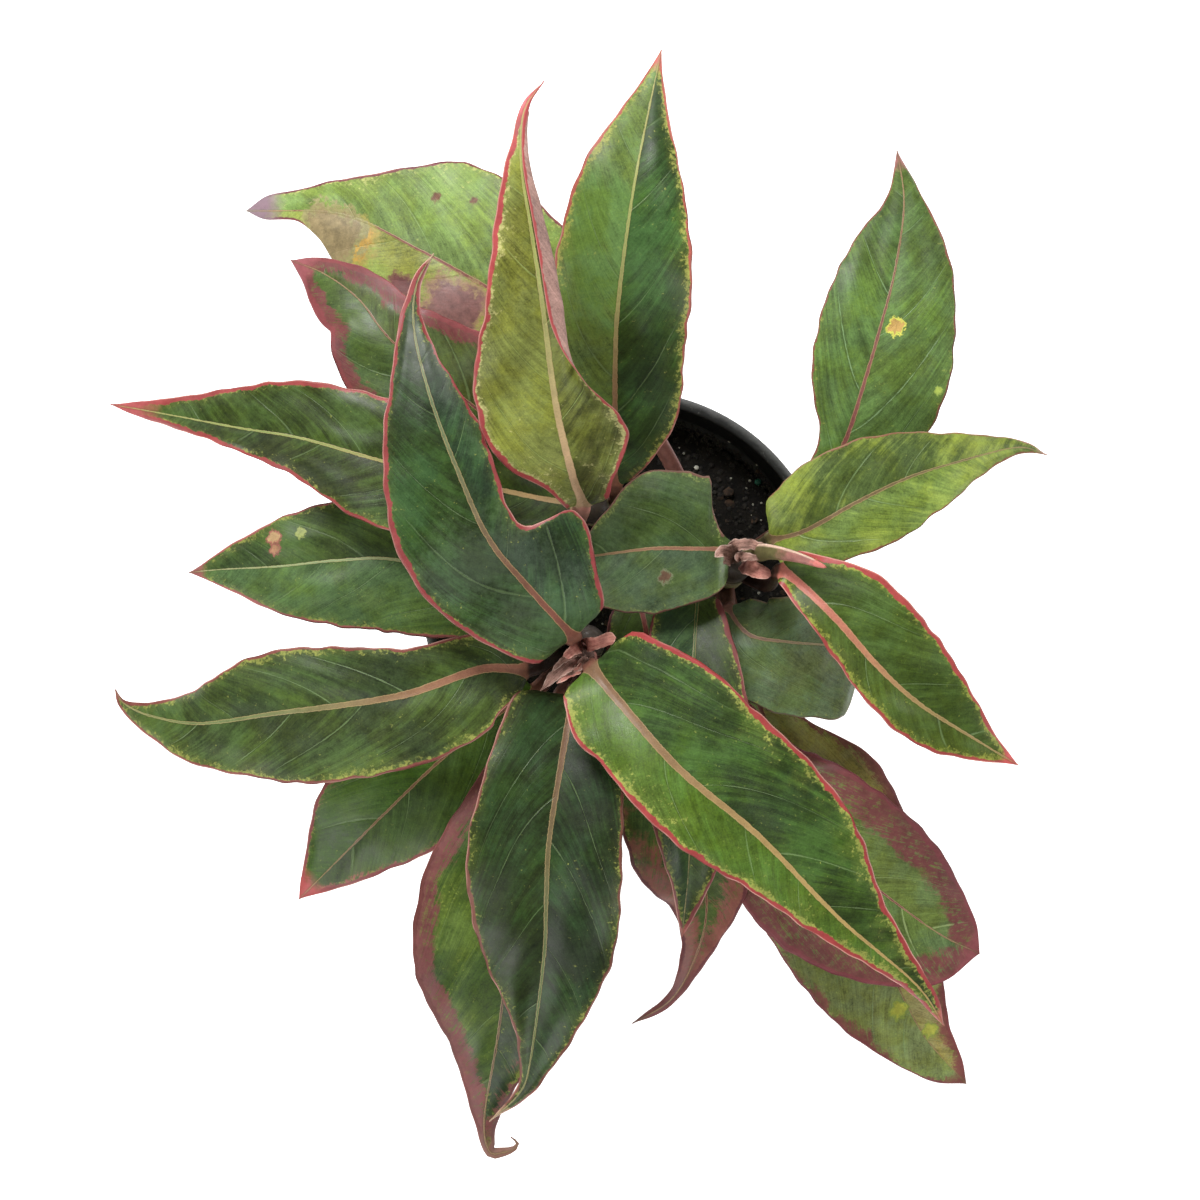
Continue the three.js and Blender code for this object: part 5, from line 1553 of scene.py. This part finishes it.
def rounded(outline):
    """An outline of (radius, height, rounding) corners with each corner rounded off."""
    points = []
    for k, corner in enumerate(outline):
        here = np.array(corner[:2], float)
        soft = corner[2]
        if soft == 0:
            points.append(here)
            continue
        to_before = unit(np.array(outline[k - 1][:2], float) - here)
        to_after = unit(np.array(outline[(k + 1) % len(outline)][:2], float) - here)
        for t in np.linspace(0, 1, CORNER_STEPS):
            a = here + to_before * soft * (1 - t)
            b = here + to_after * soft * t
            points.append(a * (1 - t) + b * t)
    return np.array(points)


def drain_drills():
    """The cylinders that the drain holes are cut with."""
    turn = angles(DRAIN_HOLE_SEGMENTS)
    points = []
    faces = []
    for k in range(DRAIN_HOLE_COUNT):
        first = len(points)
        second = first + DRAIN_HOLE_SEGMENTS
        x = DRAIN_HOLE_CIRCLE * math.cos(FULL_TURN * k / DRAIN_HOLE_COUNT)
        y = DRAIN_HOLE_CIRCLE * math.sin(FULL_TURN * k / DRAIN_HOLE_COUNT)
        for z in (-POT_WALL, 2 * POT_WALL):
            points += [(x + DRAIN_HOLE_RADIUS * math.cos(a), y + DRAIN_HOLE_RADIUS * math.sin(a), z)
                       for a in turn]
        faces.append([first + i for i in reversed(range(DRAIN_HOLE_SEGMENTS))])
        faces.append([second + i for i in range(DRAIN_HOLE_SEGMENTS)])
        for i in range(DRAIN_HOLE_SEGMENTS):
            j = (i + 1) % DRAIN_HOLE_SEGMENTS
            faces.append((first + i, first + j, second + j, second + i))
    return new_piece("drill", points, faces)


def pot_piece():
    """A thin-walled nursery pot: rolled lip, collar, tapering wall, a floor with drain holes."""
    collar = POT_HEIGHT - POT_COLLAR_HEIGHT
    lip = POT_HEIGHT - POT_LIP_DROP
    shoulder = collar - POT_SHOULDER_STEP
    outline = rounded([
        (POT_AXIS_HOLE, 0, 0),
        (POT_BASE_RADIUS - POT_FOOT_INSET, 0, POT_FOOT_ROUND),
        (POT_SHOULDER_RADIUS, shoulder, 1.2),
        (POT_COLLAR_RADIUS - POT_COLLAR_DRAFT, collar, 0.8),
        (POT_COLLAR_RADIUS, lip - 0.2, 0.6),
        (POT_RIM_RADIUS, lip, 0.7),
        (POT_RIM_RADIUS, POT_HEIGHT, 1.5),
        (POT_COLLAR_RADIUS - POT_LIP_INSET, POT_HEIGHT, 1.1),
        (POT_COLLAR_RADIUS - POT_WALL - POT_COLLAR_DRAFT, collar + POT_LEDGE_RISE, 1.0),
        (POT_SHOULDER_RADIUS - POT_WALL, shoulder, 0.8),
        (POT_BASE_RADIUS - POT_WALL, POT_WALL, POT_FOOT_ROUND),
        (POT_AXIS_HOLE, POT_WALL, 0),
    ])
    angle = angles(POT_SEGMENTS)
    radius = outline[:, 0:1]
    points = np.stack([radius * np.cos(angle), radius * np.sin(angle),
                       np.repeat(outline[:, 1:2], POT_SEGMENTS, 1)], -1).reshape(-1, 3)
    pot = new_piece("pot_moulded", points, turned_faces(len(outline), POT_SEGMENTS))
    drill = drain_drills()
    cut = pot.modifiers.new("drain holes", "BOOLEAN")
    cut.object = drill
    cut.operation = "DIFFERENCE"
    cut.solver = "EXACT"
    mesh = settled_mesh(pot)
    pot.modifiers.clear()
    pot.data = mesh
    bpy.data.objects.remove(drill)
    return pot


def pot_material():
    """Black moulded plastic: dusty on top, a painted highlight along the rim's outer edge, a smear of
    dried soil.
    """
    material, w, sockets = new_material("black pot plastic", Specular_IOR_Level=0.35)
    x, y, height = w.axes(w.place())
    out = w.math("SQRT", w.add(w.times(x, x), w.times(y, y)))
    medium = w.noise(90, 5, 0.65)
    fine = w.noise(900, 4, 0.7)
    facing = w.axes(w.node("ShaderNodeNewGeometry").outputs["Normal"])
    upward = w.step(facing[2], 0.0, 0.9)
    top = w.step(height, 0.132, 0.139)
    colour = w.brighten(shade(26, 26, 27), w.uneven((medium, 0.25)))
    # A pale band on the upward faces at the rim's outer edge: a painted highlight.
    painted_rim_highlight = w.times(upward, top, w.step(w.add(out, w.swing(medium, 0.0006)), 0.0745, 0.0772))
    colour = w.mix(painted_rim_highlight, colour, w.brighten(shade(96, 96, 97), w.uneven((fine, 0.2))))
    scuff = w.times(w.step(w.noise(340, 6, 0.8), 0.58, 0.7), top, 0.4)
    colour = w.mix(scuff, colour, shade(118, 116, 112))
    outside = w.step(out, 0.055, 0.06)
    splash = w.times(w.step(w.noise(60, 5, 0.75), 0.58, 0.68), w.step(height, 0.118, 0.09),
                     outside, 0.3)
    colour = w.mix(splash, colour, shade(84, 76, 66))
    dirt = w.times(w.step(w.noise(150, 6, 0.8), 0.53, 0.62), w.step(height, 0.128, 0.136), 0.7)
    colour = w.mix(w.times(dirt, w.step(w.noise(22, 1, 0.5), 0.5, 0.6)), colour,
                   shade(124, 98, 74))
    skin(w, sockets, colour, w.add(w.scaled(medium, 0.4, 0.55), w.times(painted_rim_highlight, 0.2)),
         w.add(fine, w.times(dirt, 3.0)), 0.18, 0.0004)
    return material


finish_piece(pot_piece(), pot_material(), "pot", "pot")

# ---- Soil --------------------------------------------------------------------------------------


def soil_height(x, y):
    """The lumpy top of the soil, in millimetres, at a place in plan."""
    edge_radius = mix(POT_BASE_RADIUS, POT_SHOULDER_RADIUS,
                      (SOIL_TOP - SOIL_EDGE_DROP) / (POT_HEIGHT - POT_COLLAR_HEIGHT)) - POT_WALL
    out = min(math.hypot(x, y) / edge_radius, 1)
    level = SOIL_TOP + SOIL_MOUND * (1 - out**2) - SOIL_EDGE_DROP * out**6
    where = Vector((x / SOIL_LUMP_SPREAD, y / SOIL_LUMP_SPREAD, SOIL_LUMP_LAYER))
    lumps = noise.fractal(where, SOIL_LUMP_ROUGHNESS, SOIL_LUMP_FINENESS, SOIL_LUMP_OCTAVES)
    return level + SOIL_LUMP_HEIGHT * lumps * (1 - out**8)


def soil_piece():
    """The root ball: a plug that fills the pot, with a crumbly top."""
    shoulder = POT_HEIGHT - POT_COLLAR_HEIGHT - POT_SHOULDER_STEP
    floor = POT_WALL + SOIL_WALL_GAP
    edge = SOIL_TOP - SOIL_EDGE_DROP

    def reach(z):
        return mix(POT_BASE_RADIUS, POT_SHOULDER_RADIUS, z / shoulder) - POT_WALL - SOIL_WALL_GAP

    def ring(radius, level):
        places = [(radius * math.cos(a), radius * math.sin(a)) for a in angles(SOIL_SEGMENTS)]
        return [(x, y, level(x, y)) for x, y in places]

    rings = [ring(reach(z), lambda x, y: z)
             for z in (floor, floor + SOIL_FOOT_STEP, *SOIL_SIDE_HEIGHTS, edge - SOIL_EDGE_STEP)]
    rings += [ring(reach(edge) * (1 - k / SOIL_RINGS), soil_height) for k in range(SOIL_RINGS)]
    return tube_piece("soil_crumbly", [0, 0, floor], np.array(rings), [0, 0, soil_height(0, 0)])


def soil_material():
    """Moist peat: nearly black with brown fibre and fine pale grit."""
    material, w, sockets = new_material("potting soil", Specular_IOR_Level=0.25)
    medium = w.noise(140, 5, 0.7)
    fine = w.noise(800, 6, 0.75)
    colour = w.mix(w.step(medium, 0.35, 0.7), shade(16, 15, 14), shade(34, 30, 26))
    colour = w.mix(w.step(fine, 0.56, 0.7), colour, shade(54, 45, 37))
    cells = w.result("ShaderNodeTexVoronoi", {"Vector": w.place(), "Scale": 1300}, feature="F1")
    grit = w.times(w.step(cells, 0.14, 0.06), w.step(medium, 0.5, 0.7))
    colour = w.mix(grit, colour, shade(96, 88, 78))
    skin(w, sockets, colour, w.scaled(fine, 0.75, 0.95), fine, 0.9, 0.0015)
    return material


finish_piece(soil_piece(), soil_material(), "soil", "soil")

# ---- Loose grains ------------------------------------------------------------------------------


def crumb_tree():
    """Geometry nodes: a rough crumb at each point of a mesh of points, turned at random."""
    tree, w, read, write = group_tree(
        "crumbs",
        [("Geometry", "shape"), ("Roughness", "number"), ("Flatness", "number"),
         ("Length", "number"), ("Seed", "count"), ("Skin", "skin")],
        [("Geometry", "shape")], "GeometryNodeTree")
    ball = w.result("GeometryNodeMeshIcoSphere", {"Radius": 1.0, "Subdivisions": 1})
    shape = w.vector(read["Length"], 1.0, read["Flatness"])
    turn = w.result("FunctionNodeRandomValue", {
        0: (-0.5, -0.5, 0.0), 1: (0.5, 0.5, TURN_RANGE), "Seed": read["Seed"]},
        data_type="FLOAT_VECTOR")
    reach = w.result("GeometryNodeInputNamedAttribute", {"Name": "reach"}, data_type="FLOAT")
    squashed = w.result("GeometryNodeTransform", {"Geometry": ball, "Scale": shape})
    crumbs = w.result("GeometryNodeInstanceOnPoints", {
        "Points": read["Geometry"], "Instance": squashed, "Rotation": turn, "Scale": reach})
    loose = w.result("GeometryNodeRealizeInstances", {0: crumbs})
    rough = w.node("ShaderNodeTexNoise", {"Scale": 420.0, "Detail": 2.0}).outputs["Color"]
    push = w.vector_scale(w.vector_math("SUBTRACT", rough, (0.5, 0.5, 0.5)), read["Roughness"])
    ragged = w.result("GeometryNodeSetPosition", {"Geometry": loose, "Offset": push})
    dressed = w.result("GeometryNodeSetMaterial", {"Geometry": ragged, "Material": read["Skin"]})
    w.feed(write[0], dressed)
    return tree


def grain_material(name, pale, dark, roughness):
    material, w, sockets = new_material(name)
    medium = w.noise(420, 3, 0.6)
    fine = w.noise(1800, 4, 0.7)
    colour = w.mix(w.step(medium, 0.35, 0.65), dark, pale)
    colour = w.brighten(colour, w.scaled(fine, 0.75, 1.2))
    skin(w, sockets, colour, w.scaled(fine, roughness - 0.1, roughness + 0.1), fine, 0.6, 0.0005)
    return material


crumbs = crumb_tree()
INNER_SHOULDER = POT_SHOULDER_RADIUS - POT_WALL
INNER_COLLAR = POT_COLLAR_RADIUS - POT_WALL
SOIL_REACH = (0, INNER_SHOULDER - 3)
LEDGE_REACH = (INNER_SHOULDER - 2, INNER_COLLAR - 1.2)
CANE_CLEARANCE = 1.5
CRUMB_RISE = 0.2
SEEN_GRAIN_RISE = 0.6
GRAIN_SKINS = {
    "peat": grain_material("peat crumb", shade(40, 35, 30), shade(18, 16, 15), 0.85),
    "bark": grain_material("bark chip", shade(70, 50, 36), shade(34, 26, 21), 0.85),
    "perlite": grain_material("perlite", shade(204, 202, 192), shade(150, 147, 138), 0.85),
    "feed_teal": grain_material("teal feed grain", shade(46, 120, 100), shade(28, 84, 70), 0.6),
    "feed_lilac": grain_material("lilac feed grain", shade(206, 206, 220), shade(160, 158, 176), 0.6),
}
# name, skin, count, radii reached, least and most size, seed, roughness, flatness, length
CRUMBS = [
    ("peat_crumbs", "peat", 2600, SOIL_REACH, (0.35, 1.2), 11, 0.9, 0.7, 1.25),
    ("ledge_crumbs", "peat", 1500, LEDGE_REACH, (0.4, 1.1), 14, 0.9, 0.7, 1.2),
    ("bark_chips", "bark", 90, SOIL_REACH, (0.7, 1.9), 12, 1.2, 0.4, 1.7),
    ("perlite_grains", "perlite", 80, SOIL_REACH, (0.25, 0.8), 13, 0.5, 0.85, 1.15),
]
# The grains that show beside the leaves: skin, place in plan and radius of each.
SEEN_GRAINS = {
    "perlite": [(40.2, 59.9, 0.9), (51.0, 50.8, 0.8), (27.2, 49.5, 1.0), (22.4, 55.1, 0.5),
                (46.8, 41.7, 0.5), (49.3, 35.3, 0.5), (40.7, 45.6, 0.45)],
    "bark": [(39.7, 40.0, 2.2), (51.0, 48.2, 1.0)],
    "feed_teal": [(51.4, 44.2, 1.5)],
    "feed_lilac": [(58.6, 39.4, 1.3)],
}


def ground_height(x, y):
    """The soil's top, or the pot's inner ledge with the loose soil that lies against the wall."""
    out = math.hypot(x, y)
    if out < INNER_SHOULDER - 1:
        return soil_height(x, y)
    share = min(max((out - INNER_SHOULDER) / (INNER_COLLAR - INNER_SHOULDER), 0), 1)
    return POT_HEIGHT - POT_COLLAR_HEIGHT - POT_SHOULDER_STEP * (1 - share)


def scatter(count, reach, sizes, seed):
    """Random places between two radii, off the canes, with a size for each."""
    rng = np.random.default_rng(seed)
    places = []
    radii = []
    while len(places) < count:
        r = math.sqrt(mix(reach[0]**2, reach[1]**2, rng.random()))
        a = FULL_TURN * rng.random()
        x, y = r * math.cos(a), r * math.sin(a)
        size = mix(*sizes, rng.random() ** 2)
        if any(math.hypot(x - c["foot"][0], y - c["foot"][1]) < c["radius"][0] + CANE_CLEARANCE
               for c in CANES.values()):
            continue
        places.append((x, y, ground_height(x, y) + CRUMB_RISE * size))
        radii.append(size * MM)
    return places, radii


def soil_grains(name, kind, places, radii, seed, rough, flatness, length):
    inputs = {"Roughness": rough * MM, "Flatness": flatness, "Length": length, "Seed": seed,
              "Skin": GRAIN_SKINS[kind]}
    piece = grown_piece(name, crumbs, places, radii, inputs)
    finish_piece(piece, GRAIN_SKINS[kind], "soil")


for name, kind, count, reach, sizes, seed, rough, flatness, length in CRUMBS:
    places, radii = scatter(count, reach, sizes, seed)
    soil_grains(name, kind, places, radii, seed, rough, flatness, length)
for kind, grains in SEEN_GRAINS.items():
    places = [(x, y, ground_height(x, y) + SEEN_GRAIN_RISE * radius) for x, y, radius in grains]
    radii = [radius * MM for x, y, radius in grains]
    soil_grains("seen_" + kind, kind, places, radii, 5, 0.5, 0.85, 1.1)

# ---- Floor, light and camera -------------------------------------------------------------------

FLOOR_SIZE = 4.0
LIGHT_TARGET = (0, 0, 0.2)
ROOM_LIGHT = (1.0, 0.995, 0.985, 1.0)
ROOM_STRENGTH = 0.22
CAMERA_PLACE = (-0.01005, -0.0017, 0.940)
CAMERA_LENS = 63.55
CAMERA_SENSOR = 36.0
CAMERA_CLIP = 0.01


def pale_floor():
    corner = FLOOR_SIZE / 2 / MM
    floor = new_piece("floor", [(-corner, -corner, 0), (corner, -corner, 0), (corner, corner, 0),
                                (-corner, corner, 0)], [(0, 1, 2, 3)])
    material, w, sockets = new_material("white paper", Emission_Strength=0.8, Roughness=0.9,
                                        Emission_Color=shade(255, 255, 255))
    paper = w.noise(6, 3, 0.5)
    w.feed(sockets["Base Color"], w.mix(paper, shade(250, 250, 250), shade(246, 246, 247)))
    floor.data.materials.append(material)


def soft_box(name, place, width, height, power, tint):
    """A large square light that faces the plant and isn't seen itself."""
    light = bpy.data.lights.new(name, "AREA")
    light.shape = "RECTANGLE"
    light.size = width
    light.size_y = height
    light.energy = power
    light.color = tint
    lamp = linked_object(name, light)
    lamp.location = place
    towards = Vector(LIGHT_TARGET) - Vector(place)
    lamp.rotation_euler = towards.to_track_quat("-Z", "Y").to_euler()
    lamp.visible_camera = False


pale_floor()
soft_box("window_back", (-0.5, 1.35, 1.75), 0.75, 0.6, 46, (1.0, 0.995, 0.985))
soft_box("window_front_left", (-0.95, -1.35, 1.35), 1.3, 1.1, 26, (1.0, 0.99, 0.975))
soft_box("window_right", (1.8, 0.2, 1.1), 1.1, 1.0, 12, (1.0, 0.995, 0.98))

world = bpy.data.worlds.new("soft room")
world.use_nodes = True
background = world.node_tree.nodes["Background"].inputs
background["Color"].default_value = ROOM_LIGHT
background["Strength"].default_value = ROOM_STRENGTH
bpy.context.scene.world = world
bpy.context.scene.view_settings.view_transform = "Standard"

camera_data = bpy.data.cameras.new("overhead camera")
camera_data.lens = CAMERA_LENS
camera_data.sensor_width = CAMERA_SENSOR
camera_data.sensor_fit = "HORIZONTAL"
camera_data.clip_start = CAMERA_CLIP
camera = linked_object("overhead camera", camera_data)
camera.location = CAMERA_PLACE
bpy.context.scene.camera = camera
